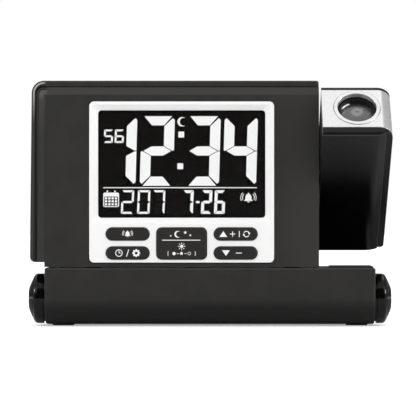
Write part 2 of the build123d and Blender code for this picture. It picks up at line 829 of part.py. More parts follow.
with BuildPart() as display_bezel:
    with BuildSketch(facing(bezel_back)):
        panel(bezel_left, bezel_right, bezel_bottom, bezel_top, bezel_radius)
    extrude(amount=bezel_thickness)
    # window with a slope all round
    with BuildSketch(facing(bezel_back)):
        panel(window_left, window_right, window_bottom, window_top, window_radius)
    with BuildSketch(facing(bezel_front)):
        slope = bezel_frame - bezel_rim
        panel(window_left - slope, window_right + slope, window_bottom - slope, window_top + slope,
              window_radius)
    loft(mode=Mode.SUBTRACT)
    # wall behind the plate and a flange that holds it in the front housing
    flange_back = panel_back + seat + button_flange_depth
    with BuildSketch(facing(flange_back)):
        panel(bezel_left, bezel_right, inner_bottom + over, bezel_top, bezel_radius)
        panel(bezel_left + bezel_wall, bezel_right - bezel_wall, bezel_bottom, bezel_top - bezel_wall,
              mode=Mode.SUBTRACT)
    extrude(amount=flange_back - bezel_back)
    with BuildSketch(facing(flange_back)):
        panel(bezel_left - bezel_flange, bezel_right + bezel_flange, inner_bottom + over,
              bezel_top + bezel_flange, bezel_radius)
        panel(bezel_left + bezel_wall, bezel_right - bezel_wall, bezel_bottom, bezel_top - bezel_wall,
              mode=Mode.SUBTRACT)
    extrude(amount=button_flange_depth)
    # holes for the buttons
    with BuildSketch(facing(bezel_back)):
        for x in (bezel_x - button_spread, bezel_x + button_spread):
            for z in (row_low, row_high):
                with Locations((x, z)):
                    SlotOverall(button_width + 2 * slide_clearance, button_height + 2 * slide_clearance)
        with Locations((bezel_x, (row_low + row_high) / 2)):
            RectangleRounded(snooze_width + 2 * slide_clearance,
                             button_pitch + button_height + 2 * slide_clearance,
                             snooze_radius + slide_clearance)
    extrude(amount=bezel_thickness, mode=Mode.SUBTRACT)
save(display_bezel, "display_bezel")

# buttons: name, column, row
small_buttons = (
    ("alarm_button", -1, row_high),
    ("mode_set_button", -1, row_low),
    ("up_button", 1, row_high),
    ("down_button", 1, row_low),
)
for name, column, row in small_buttons:
    middle = bezel_x + column * button_spread
    with BuildPart() as button:
        with BuildSketch(facing(flange_front)):
            with Locations((middle, row)):
                SlotOverall(button_width, button_height)
        extrude(amount=flange_front - button_front)
        fillet(button.faces().sort_by(Axis.Y)[0].edges(), button_edge)
        with BuildSketch(facing(flange_front + button_flange_depth)):
            with Locations((middle, row)):
                SlotOverall(button_width + 2 * button_flange, button_height + 2 * button_flange)
        extrude(amount=button_flange_depth)
        with BuildSketch(facing(stem_end)):
            with Locations((middle, row + stem_lift)):
                Rectangle(stem_width, stem_height)
        extrude(amount=stem_end - flange_front - button_flange_depth / 2)
    save(button, name)

snooze_middle = (row_low + row_high) / 2
snooze_height = button_pitch + button_height
with BuildPart() as snooze_light_button:
    with BuildSketch(facing(flange_front)):
        with Locations((bezel_x, snooze_middle)):
            RectangleRounded(snooze_width, snooze_height, snooze_radius)
    extrude(amount=flange_front - button_front)
    fillet(snooze_light_button.faces().sort_by(Axis.Y)[0].edges(), button_edge)
    with BuildSketch(facing(flange_front + button_flange_depth)):
        with Locations((bezel_x, snooze_middle)):
            RectangleRounded(snooze_width + 2 * button_flange, snooze_height + 2 * button_flange,
                             snooze_radius)
    extrude(amount=button_flange_depth)
    with BuildSketch(facing(stem_end)):
        with Locations((bezel_x, snooze_middle)):
            Rectangle(stem_width, stem_height)
    extrude(amount=stem_end - flange_front - button_flange_depth / 2)
save(snooze_light_button, "snooze_light_button")

with BuildPart() as lcd_window:
    with BuildSketch(facing(window_front + window_thickness)):
        panel(window_left - glass_margin, window_right + glass_margin, window_bottom - glass_margin / 2,
              window_top + glass_margin)
    extrude(amount=window_thickness)
save(lcd_window, "lcd_window")

glass_low = window_bottom - glass_margin
glass_high = window_top + glass_margin
with BuildPart() as lcd_panel:
    with BuildSketch(facing(glass_front + glass_thickness)):
        panel(window_left - glass_margin, window_right + glass_margin, glass_low, glass_high)
    extrude(amount=glass_thickness)
save(lcd_panel, "lcd_panel")

with BuildPart() as backlight_panel:
    with BuildSketch(facing(backlight_front + backlight_thickness)):
        panel(window_left - glass_margin / 2, window_right + glass_margin / 2,
              strip_low + strip_height + strip_margin, strip_high - strip_height - strip_margin)
    extrude(amount=backlight_thickness)
save(backlight_panel, "backlight_panel")

strip_front = glass_front + glass_thickness + seat / 2
with BuildPart() as connector_strips:
    with BuildSketch(facing(board_front - seat / 2)):
        for middle in (strip_low + strip_height / 2, strip_high - strip_height / 2):
            with Locations((bezel_x, middle)):
                Rectangle(window_right - window_left - glass_margin, strip_height)
    extrude(amount=board_front - seat / 2 - strip_front)
save(connector_strips, "connector_strips")

with BuildPart() as main_board:
    with BuildSketch(facing(board_back)):
        panel(board_left, board_right, board_bottom, board_top)
        with Locations(*board_screws_at):
            Circle(core_radius + 2 * seat, mode=Mode.SUBTRACT)
    extrude(amount=board_thickness)
save(main_board, "main_board")

with BuildPart() as board_screws:
    for x, z in board_screws_at:
        with BuildSketch(facing(board_back + screw_head_height)):
            with Locations((x, z)):
                Circle(board_screw_head)
        extrude(amount=screw_head_height)
        with BuildSketch(facing(board_back)):
            with Locations((x, z)):
                Circle(core_radius)
        extrude(amount=board_screw_length)
save(board_screws, "board_screws")

switches_at = [(bezel_x + column * button_spread, row + stem_lift) for column in (-1, 1)
               for row in (row_low, row_high)] + [(bezel_x, snooze_middle)]
with BuildPart() as tact_switches:
    with BuildSketch(facing(board_front)):
        with Locations(*switches_at):
            Rectangle(switch_size, switch_size)
    extrude(amount=switch_height - button_travel)
    with BuildSketch(facing(board_front)):
        with Locations(*switches_at):
            Circle(switch_size / 4)
    extrude(amount=switch_height)
save(tact_switches, "tact_switches")

# chips on the back of the main board
with BuildPart() as board_chips:
    with BuildSketch(facing(board_back + chip_height)):
        for x, z, width, height in chips:
            with Locations((x, z)):
                Rectangle(width, height)
    extrude(amount=chip_height)
save(board_chips, "board_chips")

with BuildPart() as buzzer:
    with BuildSketch(facing(board_back + buzzer_height)):
        with Locations((buzzer_x, buzzer_z)):
            Circle(buzzer_radius)
    extrude(amount=buzzer_height)
    with BuildSketch(facing(board_back + buzzer_height)):
        with Locations((buzzer_x, buzzer_z)):
            Circle(buzzer_hole)
    extrude(amount=buzzer_hole_depth, mode=Mode.SUBTRACT)
save(buzzer, "buzzer")

with BuildPart() as pivot_bush:
    with BuildSketch(across(bush_inner)):
        with Locations((0, pivot_height)):
            Circle(bush_flange_radius)
    extrude(amount=bush_flange - seat / 2)
    with BuildSketch(across(bush_inner)):
        with Locations((0, pivot_height)):
            Circle(bush_radius - seat / 2)
    extrude(amount=head_right + arm_gap / 2 - bush_inner)
    with BuildSketch(across(bush_inner)):
        with Locations((0, pivot_height)):
            Circle(shaft_radius + shaft_clearance)
    extrude(amount=head_right + arm_gap - bush_inner, mode=Mode.SUBTRACT)
save(pivot_bush, "pivot_bush")


# ---------------------------------------------------------------- projector arm
def beside_arm(x):
    """Plane at x in the arm's frame: sketch x is along the arm, sketch y its thickness."""
    return Plane(origin=pivot + Vector(x, 0, 0), x_dir=arm_axis, z_dir=(1, 0, 0))


def arm_profile(left, right, inset, corner, heel):
    """An outline seen from the arm's front: square at the head, round at the outer corners."""
    with BuildSketch(Plane.XY, mode=Mode.PRIVATE) as outline:
        panel(left, right, -arm_half + inset, arm_half - inset)
        for end, radius in ((arm_half, corner), (-arm_half, heel)):
            if radius:
                fillet(outline.vertices().sort_by_distance((right, end, 0))[0], radius)
    return outline.sketch


arm_inner_left = arm_left + arm_wall
arm_inner_right = arm_right - arm_wall
cover_right = arm_right - arm_cover_inset
shell_front = cover_back - seat
lens_axis = Axis(on_lens(0).origin, arm_axis)
thickness_axis = Axis(pivot, arm_normal)
focus_end = focus_start + focus_width
focus_reach = (focus_radius ** 2 - (nose_back - lens_offset) ** 2) ** 0.5 + 2 * fit
ring_clear = focus_radius + lens_offset + fit
lip_end = cover_back - arm_cover_lip / 2
lip_reach = (focus_radius ** 2 - (lip_end - lens_offset) ** 2) ** 0.5 + fit
screw_distance = -arm_half + arm_wall + case_boss_radius + arm_boss_gap
arm_screws_at = [(arm_inner_left + case_boss_radius + joint, screw_distance),
                 (cover_right - case_boss_radius - arm_boss_gap - joint, screw_distance)]
barrel_end = arm_half - lens_recess
barrel_start = barrel_end - barrel_length
follower_place = focus_start + focus_width / 2
arm_outer = arm_profile(arm_left, arm_right, 0, arm_corner, arm_heel_corner)
arm_hollow = arm_profile(arm_inner_left, arm_inner_right, arm_wall, arm_corner - arm_wall, 0)

with BuildPart() as arm_rear_shell:
    with BuildSketch(on_arm(arm_back)):
        add(arm_outer)
    extrude(amount=shell_front - arm_back)
    fillet(arm_rear_shell.faces().sort_by(thickness_axis)[0].edges(), arm_back_radius)
    with BuildSketch(on_arm(nose_back)):
        add(arm_hollow)
    extrude(amount=shell_front - nose_back - arm_cover_lip / 2, mode=Mode.SUBTRACT)
    # front opening for the cover, and the end that the silver nose closes
    with BuildSketch(on_arm(0)):
        panel(arm_inner_left, cover_right - arm_wall, -arm_half + arm_wall, arm_half)
    extrude(amount=arm_thickness, mode=Mode.SUBTRACT)
    with BuildSketch(on_arm(nose_back)):
        panel(arm_left - over, arm_right + over, nose_start, arm_half + over)
    extrude(amount=arm_thickness, mode=Mode.SUBTRACT)
    with BuildSketch(across(arm_left - over)):
        with Locations((0, pivot_height)):
            Circle(shaft_radius + seat / 2)
    extrude(amount=arm_wall + 2 * over, mode=Mode.SUBTRACT)
    # slot through which a finger turns the focus ring
    with BuildSketch(on_arm(arm_back - over)):
        panel(lens_x - focus_reach, lens_x + focus_reach, focus_start - fit, focus_end + fit)
    extrude(amount=arm_back_layer + 2 * over, mode=Mode.SUBTRACT)
    # screw bosses
    with BuildSketch(on_arm(nose_back - seat)):
        with Locations(*arm_screws_at):
            Circle(case_boss_radius)
    extrude(amount=seat - nose_back)
    with BuildSketch(on_arm(arm_back)):
        with Locations(*arm_screws_at):
            Circle(case_screw_head + fit)
    extrude(amount=arm_boss_floor - arm_back, mode=Mode.SUBTRACT)
    with BuildSketch(on_arm(arm_back)):
        with Locations(*arm_screws_at):
            Circle(case_screw_radius)
    extrude(amount=-arm_back, mode=Mode.SUBTRACT)
save(arm_rear_shell, "arm_rear_shell")

with BuildPart() as arm_nose:
    with BuildSketch(on_arm(nose_back + seat / 2)):
        add(arm_outer)
        panel(arm_left - over, arm_right + over, nose_start + seat / 2, arm_half + over,
              mode=Mode.INTERSECT)
    extrude(amount=shell_front - nose_back - seat)
    with BuildSketch(on_arm(nose_back)):
        add(arm_profile(arm_inner_left, arm_inner_right, nose_wall, arm_corner - nose_wall, 0))
    extrude(amount=arm_thickness, mode=Mode.SUBTRACT)
    with BuildSketch(on_lens(nose_start)):
        Circle(lens_ring_radius + seat / 2)
    extrude(amount=nose_depth + over, mode=Mode.SUBTRACT)
save(arm_nose, "arm_nose")

with BuildPart(mode=Mode.PRIVATE) as raised_panel:
    with BuildSketch(on_lens(-arm_half, 0, 0)):
        with BuildLine():
            rim = (cover_right, arm_cover_fall - arm_front)
            crown = (cover_right - arm_cover_round, -arm_front)
            Polyline(crown, (arm_left, -arm_front), (arm_left, -cover_back), (cover_right, -cover_back), rim)
            TangentArc(crown, rim, tangent=(1, 0))
        make_face()
    extrude(amount=arm_length)
    with BuildSketch(on_arm(cover_back - over)):
        add(arm_profile(arm_left, cover_right, 0, arm_cover_corner, arm_cover_heel))
    extrude(amount=arm_thickness, mode=Mode.INTERSECT)

with BuildPart() as arm_front_cover:
    with BuildSketch(on_arm(cover_back)):
        add(arm_outer)
    extrude(amount=arm_cover_thickness - arm_cover_step)
    add(raised_panel.part)
    # bevel above the nose
    with BuildSketch(beside_arm(arm_left - over)):
        with BuildLine():
            Polyline((arm_half - 2 * arm_cover_bevel, arm_front + arm_cover_bevel),
                     (arm_half + arm_cover_bevel, arm_front - 2 * arm_cover_bevel),
                     (arm_half + arm_cover_bevel, arm_front + arm_cover_bevel), close=True)
        make_face()
    extrude(amount=arm_width + 2 * over, mode=Mode.SUBTRACT)
    # lip inside the shell
    with BuildSketch(on_arm(lip_end)):
        panel(arm_inner_left + fit, cover_right - arm_wall - fit, -arm_half + arm_wall + fit,
              nose_start - fit)
        panel(arm_inner_left + fit + arm_wall, cover_right - 2 * arm_wall - fit,
              -arm_half + 2 * arm_wall + fit, nose_start - fit - arm_wall, mode=Mode.SUBTRACT)
    extrude(amount=cover_back + seat - lip_end)
    with BuildSketch(on_arm(seat)):
        with Locations(*arm_screws_at):
            Circle(case_boss_radius)
    extrude(amount=cover_back)
    with BuildSketch(on_arm(seat)):
        with Locations(*arm_screws_at):
            Circle(case_screw_radius)
    extrude(amount=arm_screw_length + arm_boss_floor, mode=Mode.SUBTRACT)
    # room for the focus ring
    with BuildSketch(on_arm(0)):
        panel(arm_inner_left + fit, lens_x + lip_reach, focus_start - fit, focus_end + fit)
    extrude(amount=ring_clear, mode=Mode.SUBTRACT)
save(arm_front_cover, "arm_front_cover")

with BuildPart() as arm_screws:
    for x, distance in arm_screws_at:
        with BuildSketch(on_arm(arm_boss_floor - screw_head_height)):
            with Locations((x, distance)):
                Circle(case_screw_head)
        extrude(amount=screw_head_height)
        with BuildSketch(on_arm(arm_boss_floor)):
            with Locations((x, distance)):
                Circle(case_screw_radius)
        extrude(amount=arm_screw_length)
save(arm_screws, "arm_screws")

shaft_start = arm_inner_left + seat / 2 + shaft_flange - shaft_length
with BuildPart() as arm_pivot_shaft:
    with BuildSketch(across(shaft_start)):
        with Locations((0, pivot_height)):
            Circle(shaft_radius)
    extrude(amount=shaft_length)
    with BuildSketch(across(arm_inner_left + seat / 2)):
        with Locations((0, pivot_height)):
            Circle(shaft_flange_radius)
    extrude(amount=shaft_flange)
    with BuildSketch(across(shaft_start - over)):
        with Locations((0, pivot_height)):
            Circle(shaft_bore)
    extrude(amount=shaft_length + 2 * over, mode=Mode.SUBTRACT)
save(arm_pivot_shaft, "arm_pivot_shaft")

spring_start = bush_inner - seat - spring_thickness
with BuildPart() as pivot_spring_washer:
    with BuildSketch(across(spring_start)):
        with Locations((0, pivot_height)):
            Circle(ring_radius)
            Circle(shaft_radius + seat, mode=Mode.SUBTRACT)
    extrude(amount=spring_thickness)
save(pivot_spring_washer, "pivot_spring_washer")

with BuildPart() as pivot_retaining_ring:
    with BuildSketch(across(spring_start - seat - ring_thickness)):
        with Locations((0, pivot_height)):
            Circle(ring_radius)
            Circle(shaft_radius + shaft_clearance / 2, mode=Mode.SUBTRACT)
    extrude(amount=ring_thickness)
save(pivot_retaining_ring, "pivot_retaining_ring")

# ---------------------------------------------------------------- projector optics
with BuildPart() as lens_ring:
    with BuildSketch(on_lens(nose_inside)):
        Circle(lens_ring_radius)
        Circle(lens_ring_opening, mode=Mode.SUBTRACT)
    extrude(amount=nose_wall + lens_ring_proud)
    outer_edges = lens_ring.edges().filter_by(GeomType.CIRCLE).sort_by(Axis((0, 0, 0), arm_axis))[-2:]
    fillet(outer_edges, lens_ring_edge)
save(lens_ring, "lens_ring")

with BuildPart() as lens_guide:
    with BuildSketch(on_lens(guide_start)):
        Circle(guide_radius)
    extrude(amount=guide_end - guide_start)
    with BuildSketch(on_lens(focus_start - seat - arm_wall)):
        Circle(collar_radius)
    extrude(amount=arm_wall)
    with BuildSketch(on_lens(guide_start - over)):
        Circle(barrel_radius + slide_clearance)
    extrude(amount=guide_end - guide_start + 2 * over, mode=Mode.SUBTRACT)
    # slot for the barrel's follower pin
    with BuildSketch(on_arm(lens_offset - guide_radius - over)):
        with Locations((lens_x, follower_place)):
            Rectangle(2 * follower_radius + fit, 2 * (follower_radius + focus_travel + fit))
    extrude(amount=guide_radius - barrel_radius + 2 * over, mode=Mode.SUBTRACT)
save(lens_guide, "lens_guide")

with BuildPart() as focus_clip:
    with BuildSketch(on_lens(focus_end + seat)):
        Circle(collar_radius)
        Circle(guide_radius + seat / 2, mode=Mode.SUBTRACT)
    extrude(amount=clip_thickness)
save(focus_clip, "focus_clip")

with BuildPart() as focus_ring:
    with BuildSketch(on_lens(focus_start)):
        Circle(focus_radius)
        Circle(guide_radius + pin_clearance, mode=Mode.SUBTRACT)
        with PolarLocations(focus_radius, focus_notches):
            Circle(focus_notch, mode=Mode.SUBTRACT)
    extrude(amount=focus_width)
save(focus_ring, "focus_ring")

with BuildPart() as lens_barrel:
    with BuildSketch(on_lens(barrel_start)):
        Circle(barrel_radius)
    extrude(amount=barrel_length)
    with BuildSketch(on_lens(barrel_start - over)):
        Circle(lens_radius + seat / 2)
    extrude(amount=barrel_length + 2 * over, mode=Mode.SUBTRACT)
    with BuildSketch(on_arm(lens_offset - guide_radius)):
        with Locations((lens_x, follower_place)):
            Circle(follower_radius)
    extrude(amount=guide_radius - (barrel_radius + lens_radius) / 2)
save(lens_barrel, "lens_barrel")

# biconvex lenses: name, middle along the arm, radius, thickness at the rim, bulge of each side
rim = lens_thickness - 2 * lens_bulge
lenses = (
    ("projection_lens", barrel_end - lens_crown_drop - lens_bulge - rim / 2, lens_radius, rim, lens_bulge),
    ("condenser_lens", condenser_start, condenser_radius, condenser_rim, condenser_bulge),
)
for name, middle, radius, rim, bulge in lenses:
    curvature = (radius ** 2 + bulge ** 2) / (2 * bulge)
    half = rim / 2 + bulge
    with BuildPart() as lens:
        with BuildSketch(on_lens(middle - half)):
            Circle(radius)
        extrude(amount=2 * half)
        for side in (-1, 1):
            with Locations(on_lens(middle + side * (half - curvature)).location):
                Sphere(curvature, mode=Mode.INTERSECT)
    save(lens, name)

with BuildPart() as light_box:
    with BuildSketch(on_lens(light_box_start)):
        Rectangle(light_box_width, light_box_width)
        Rectangle(light_box_inside, light_box_inside, mode=Mode.SUBTRACT)
    extrude(amount=guide_start - seat - light_box_start)
save(light_box, "light_box")

with BuildPart() as projection_film:
    with BuildSketch(on_lens(film_start)):
        Rectangle(light_box_inside - 2 * fit, light_box_inside - 2 * fit)
    extrude(amount=film_thickness)
save(projection_film, "projection_film")

board_near = light_box_start - seat / 2
with BuildPart() as projector_board:
    with BuildSketch(on_lens(board_near)):
        Rectangle(arm_inner_right - arm_inner_left - 4 * fit, light_box_width + 2 * seat)
    extrude(amount=-board_thickness)
save(projector_board, "projector_board")

with BuildPart() as projector_led:
    with BuildSketch(on_lens(board_near)):
        Circle(led_radius)
    extrude(amount=led_length)
    fillet(projector_led.edges().sort_by(Axis((0, 0, 0), arm_axis))[-1], led_radius * led_crown)
save(projector_led, "projector_led")
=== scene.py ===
import math

import bmesh
import bpy
from mathutils import Matrix, Vector


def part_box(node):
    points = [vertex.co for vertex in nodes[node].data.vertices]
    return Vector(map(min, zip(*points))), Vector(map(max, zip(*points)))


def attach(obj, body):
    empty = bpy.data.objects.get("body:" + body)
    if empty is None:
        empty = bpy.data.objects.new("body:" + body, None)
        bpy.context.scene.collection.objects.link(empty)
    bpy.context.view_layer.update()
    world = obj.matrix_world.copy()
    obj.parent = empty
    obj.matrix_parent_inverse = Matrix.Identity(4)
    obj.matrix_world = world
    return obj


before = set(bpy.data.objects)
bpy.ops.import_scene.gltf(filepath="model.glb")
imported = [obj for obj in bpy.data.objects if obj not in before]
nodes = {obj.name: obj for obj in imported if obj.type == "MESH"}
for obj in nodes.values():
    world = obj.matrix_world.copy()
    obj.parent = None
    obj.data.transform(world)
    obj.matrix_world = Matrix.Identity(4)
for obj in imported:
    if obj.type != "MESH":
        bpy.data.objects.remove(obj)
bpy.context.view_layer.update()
print("frame loaded with", len(nodes), "nodes")

mm = 0.001

camera = {  # lens and sensor width in mm
    "place": (-0.82 * mm, -912 * mm, 47.5 * mm),
    "lens": 194.7,
    "sensor": 36,
    "nearest": 10 * mm,
}
eye = bpy.data.objects.new("camera", bpy.data.cameras.new("camera"))
bpy.context.collection.objects.link(eye)
eye.location = camera["place"]
eye.rotation_euler = (math.pi / 2, 0, 0)
eye.data.lens = camera["lens"]
eye.data.sensor_width = camera["sensor"]
eye.data.clip_start = camera["nearest"]
bpy.context.scene.camera = eye
bpy.context.scene.view_settings.view_transform = "Standard"


class Socket:  # one output, so that shader maths reads as plain sums
    def __init__(self, finish, output):
        self.finish = finish
        self.output = output

    def maths(self, operation, *values):
        return self.finish.node("Math", {"operation": operation}, dict(enumerate(values)))

    def __add__(self, other):
        return self.maths("ADD", self, other)

    def __sub__(self, other):
        return self.maths("SUBTRACT", self, other)

    def __rsub__(self, other):
        return self.maths("SUBTRACT", other, self)

    def __mul__(self, other):
        return self.maths("MULTIPLY", self, other)

    def __pow__(self, other):
        return self.maths("POWER", self, other)

    __radd__ = __add__
    __rmul__ = __mul__

    def smooth(self, start, end):  # 0 before start, 1 after end
        ease = {"interpolation_type": "SMOOTHSTEP"}
        return self.finish.node("MapRange", ease, {"Value": self, "From Min": start, "From Max": end})


class Finish:  # one material and the nodes it is made of
    def __init__(self, name, fixed=None):
        self.material = bpy.data.materials.new(name)
        self.material.use_nodes = True
        self.tree = self.material.node_tree
        self.surface = self.tree.nodes["Principled BSDF"]
        for socket, value in (fixed or {}).items():
            self.feed(self.surface.inputs[socket], value)

    def feed(self, socket, value):
        if isinstance(value, Socket):
            self.tree.links.new(value.output, socket)
        else:
            socket.default_value = value

    def node(self, kind, settings=None, values=None, output=0):
        made = self.tree.nodes.new("ShaderNode" + kind)
        for name, value in (settings or {}).items():
            setattr(made, name, value)
        for name, value in (values or {}).items():
            self.feed(made.inputs[name], value)
        return Socket(self, made.outputs[output])

    def place(self):  # where a point is on the piece at rest, in metres
        return self.node("TexCoord", output="Object")

    def axis(self, number):  # one coordinate of that place
        return self.node("SeparateXYZ", {}, {"Vector": self.place()}, output=number)

    def noise(self, scale, detail, roughness, at=None):
        values = {"Vector": at or self.place(), "Scale": scale, "Detail": detail, "Roughness": roughness}
        return self.node("TexNoise", {}, values)

    def between(self, share, first, second):  # from the first colour to the second
        colours = {0: share, 6: first, 7: second}  # the node's colour sockets come after those for numbers
        return self.node("Mix", {"data_type": "RGBA"}, colours, output=2)

    def softEdge(self, radius):  # the small rounding that every moulded edge has
        return self.node("Bevel", {"samples": 4}, {"Radius": radius})

    def relief(self, height, depth, strength, over=None):
        values = {"Height": height, "Distance": depth, "Strength": strength}
        if over:
            values["Normal"] = over
        return self.node("Bump", {}, values)

    def show(self, **varying):
        for socket, value in varying.items():
            self.feed(self.surface.inputs[socket.replace("_", " ")], value)
        return self.material


def grey(level, warmth=0.0):
    return (level * (1 + warmth), level, level * (1 - warmth), 1)


lean = math.radians(48)  # of the projector arm
headSide = {"from": 90 * mm, "slope": 0.0103}  # the head's left side leans out towards its foot


def band(value, start, end, soft=0.1 * mm):  # 1 between start and end
    return value.smooth(start - soft, start) * (1 - value.smooth(end, end + soft))


def away(across, up):  # distance from the point where both are 0
    return (across * across + up * up) ** 0.5


def insetFrom(skin, edge, top, corner):  # distance inside an outline with a rounded upper left corner
    across = skin.axis(0) - (edge + corner) + (headSide["from"] - skin.axis(2)) * headSide["slope"]
    up = skin.axis(2) - (top - corner)
    return corner - away(across.maths("MINIMUM", across, 0.0), up.maths("MAXIMUM", up, 0.0))


def lensPlane(skin, middle):  # across and up from the middle of the arm's round opening
    up = (skin.axis(1) - middle.y) * math.cos(lean) + (skin.axis(2) - middle.z) * math.sin(lean)
    return skin.axis(0) - middle.x, up


baseTones = {  # painted shade and a painted highlight: where each change starts and ends; levels are shares of the finish's own
    "underturn": (6.5 * mm, 12.5 * mm),
    "underShadeLevel": 0.4,
    "ridgeHighlight": (23.0 * mm, 23.6 * mm),
    "ridgeDepth": (-11.6 * mm, -11.2 * mm),
    "ridgeHighlightLevel": 2.1,
}


def baseShade(skin, colour, level, warmth):  # painted shade where the front turns under, a painted highlight along the upper edge
    tones, back, up = baseTones, skin.axis(1), skin.axis(2)
    # painted shade low on the front
    under = 1 - up.smooth(*tones["underturn"])
    colour = skin.between(under, colour, grey(level * tones["underShadeLevel"], warmth))
    # painted highlight line along the upper front edge
    ridgeHighlight = band(up, *tones["ridgeHighlight"]) * (1 - back.smooth(*tones["ridgeDepth"]))
    return skin.between(ridgeHighlight, colour, grey(level * tones["ridgeHighlightLevel"], warmth))


rimTones = {  # a painted highlight line along the corner, with a grey of its own, and painted shade on the left
    "outline": (-71.64 * mm, 98.6 * mm, 5 * mm),  # left edge, top, corner radius
    "left": (-67.2 * mm, -65.5 * mm),
    "front": (-7.5 * mm, -6.5 * mm),
    "level": 0.6,
    "line": (0.75 * mm, 1.2 * mm, 0.25 * mm),
    "highlightUp": (80 * mm, 97 * mm),
    "highlightLeast": 0.08,
    "highlightLevel": 0.3,
}


def rimShade(skin, colour, level, warmth):  # painted shade on the rim's left front, and a painted highlight line where its corner catches light
    tones, inset = rimTones, insetFrom(skin, *rimTones["outline"])
    # painted shade near the left front
    near = (1 - skin.axis(0).smooth(*tones["left"])) * (1 - skin.axis(1).smooth(*tones["front"]))
    colour = skin.between(near, colour, grey(level * tones["level"], warmth))
    # painted highlight line, strongest near the top
    strength = skin.axis(2).smooth(*tones["highlightUp"]) * (1 - tones["highlightLeast"]) + tones["highlightLeast"]
    line = band(inset, *tones["line"]) * strength * near
    return skin.between(line, colour, grey(tones["highlightLevel"], warmth))


faceTones = {  # painted shade and light; levels are shares of the finish's own
    "outline": (-69.6 * mm, 95.9 * mm, 3 * mm),  # left edge, top, corner radius
    "left": (-66.2 * mm, -64.5 * mm),
    "groove": (1.0 * mm, 1.15 * mm),
    "grooveBed": (0.3 * mm, 0.5 * mm),
    "bedShare": 0.7,
    "grooveLevel": 0.15,
    "bevelLeft": (-66.2 * mm, -65.5 * mm),
    "bevelTop": (92.5 * mm, 93.2 * mm),
    "bevelUp": (74 * mm, 92 * mm),
    "bevelLevel": 1.6,
    "bevelWarmth": 0.04,
    "right": (20 * mm, 40 * mm),
    "rightLightLevel": 1.35,
    "cornerHighlight": (1.2 * mm, 2.8 * mm, 0.2 * mm),
    "cornerHighlightUp": (90.5 * mm, 92.5 * mm),
    "cornerHighlightLevel": 3.2,
}


def faceShade(skin, colour, level, warmth):  # painted shade in the grooves beside the left rim, painted light on the bevel and right side, a painted highlight at the corner
    tones, across, up = faceTones, skin.axis(0), skin.axis(2)
    inset = insetFrom(skin, *tones["outline"])
    left = 1 - across.smooth(*tones["left"])
    # a painted highlight line in the groove's bed, painted shade in the rest of the groove
    bedHighlight = band(inset, *tones["grooveBed"]) * tones["bedShare"]
    groove = (1 - inset.smooth(*tones["groove"])) * (1 - bedHighlight)
    flat = across.smooth(*tones["bevelLeft"]) * (1 - up.smooth(*tones["bevelTop"]))
    bevel = (1 - flat) * up.smooth(*tones["bevelUp"])
    # painted light: the right side and the bevel lighter
    colour = skin.between(across.smooth(*tones["right"]), colour, grey(level * tones["rightLightLevel"], warmth))
    colour = skin.between(bevel, colour, grey(level * tones["bevelLevel"], warmth + tones["bevelWarmth"]))
    # painted highlight near the upper left corner
    cornerHighlight = band(inset, *tones["cornerHighlight"]) * left * up.smooth(*tones["cornerHighlightUp"])
    colour = skin.between(cornerHighlight, colour, grey(level * tones["cornerHighlightLevel"], warmth))
    return skin.between(groove * left, colour, grey(level * tones["grooveLevel"], warmth))


coverTones = {  # painted sheen, highlights and shade: along the arm from its swivel axis, or across from the crease; levels are plain greys
    "swivelHeight": 62.8 * mm,
    "sheen": (14 * mm, 37 * mm),
    "sheenLevel": 0.006,
    "bevel": (34.1 * mm, 34.2 * mm),
    "bevelLevel": 0.014,
    "seam": (33.0 * mm, 33.3 * mm),
    "seamHighlightLevel": 0.035,
    "gap": (33.5 * mm, 34.1 * mm),
    "gapShadeLevel": 0.0002,
    "creaseInset": 2.6 * mm,
    "sideSheen": (-2.8 * mm, -0.3 * mm, 0.8 * mm),
    "fallStop": (-0.1 * mm, 0),
    "fallEnd": (32.5 * mm, 33 * mm),
    "sideSheenLevel": 0.009,
    "fallWarmth": 0.06,
    "creaseHighlight": (-0.15 * mm, 0.1 * mm),
    "creaseEnd": (31 * mm, 32.5 * mm),
    "creaseHighlightLevel": 0.03,
}


def coverShade(skin, colour, level, warmth):  # painted sheen fading down the front, painted light on the bevel, a painted highlight line below it with painted shade in the gap, a painted sheen and highlight by the right crease
    tones = coverTones
    along = (skin.axis(2) - tones["swivelHeight"]) * math.cos(lean) - skin.axis(1) * math.sin(lean)
    # painted sheen, lighter towards the arm's upper end
    colour = skin.between(along.smooth(*tones["sheen"]), colour, grey(tones["sheenLevel"], warmth))
    # painted light on the bevel, a painted highlight line, painted shade in the gap
    colour = skin.between(along.smooth(*tones["bevel"]), colour, grey(tones["bevelLevel"], warmth))
    colour = skin.between(band(along, *tones["seam"]), colour, grey(tones["seamHighlightLevel"], warmth))
    colour = skin.between(band(along, *tones["gap"]), colour, grey(tones["gapShadeLevel"]))
    side = skin.axis(0) - (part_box("arm_front_cover")[1].x - tones["creaseInset"])
    # painted reflection on the rounded right side
    sideSheen = band(side, *tones["sideSheen"]) * (1 - along.smooth(*tones["fallEnd"]))
    sideSheen = sideSheen * (1 - side.smooth(*tones["fallStop"]))
    colour = skin.between(sideSheen, colour, grey(tones["sideSheenLevel"], tones["fallWarmth"]))
    # painted highlight along the crease
    creaseHighlight = band(side, *tones["creaseHighlight"]) * (1 - along.smooth(*tones["creaseEnd"]))
    return skin.between(creaseHighlight, colour, grey(tones["creaseHighlightLevel"], warmth))


ringTones = {"seam": (-0.1 * mm, 0.15 * mm), "level": 0.6}  # from the ring's rim outwards


def ringSeam(skin, colour, level, warmth):  # dark joint line round the lens ring
    low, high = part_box("lens_ring")
    beyond = away(*lensPlane(skin, (low + high) / 2)) - (high.x - low.x) / 2
    return skin.between(band(beyond, *ringTones["seam"]), colour, grey(level * ringTones["level"], warmth))


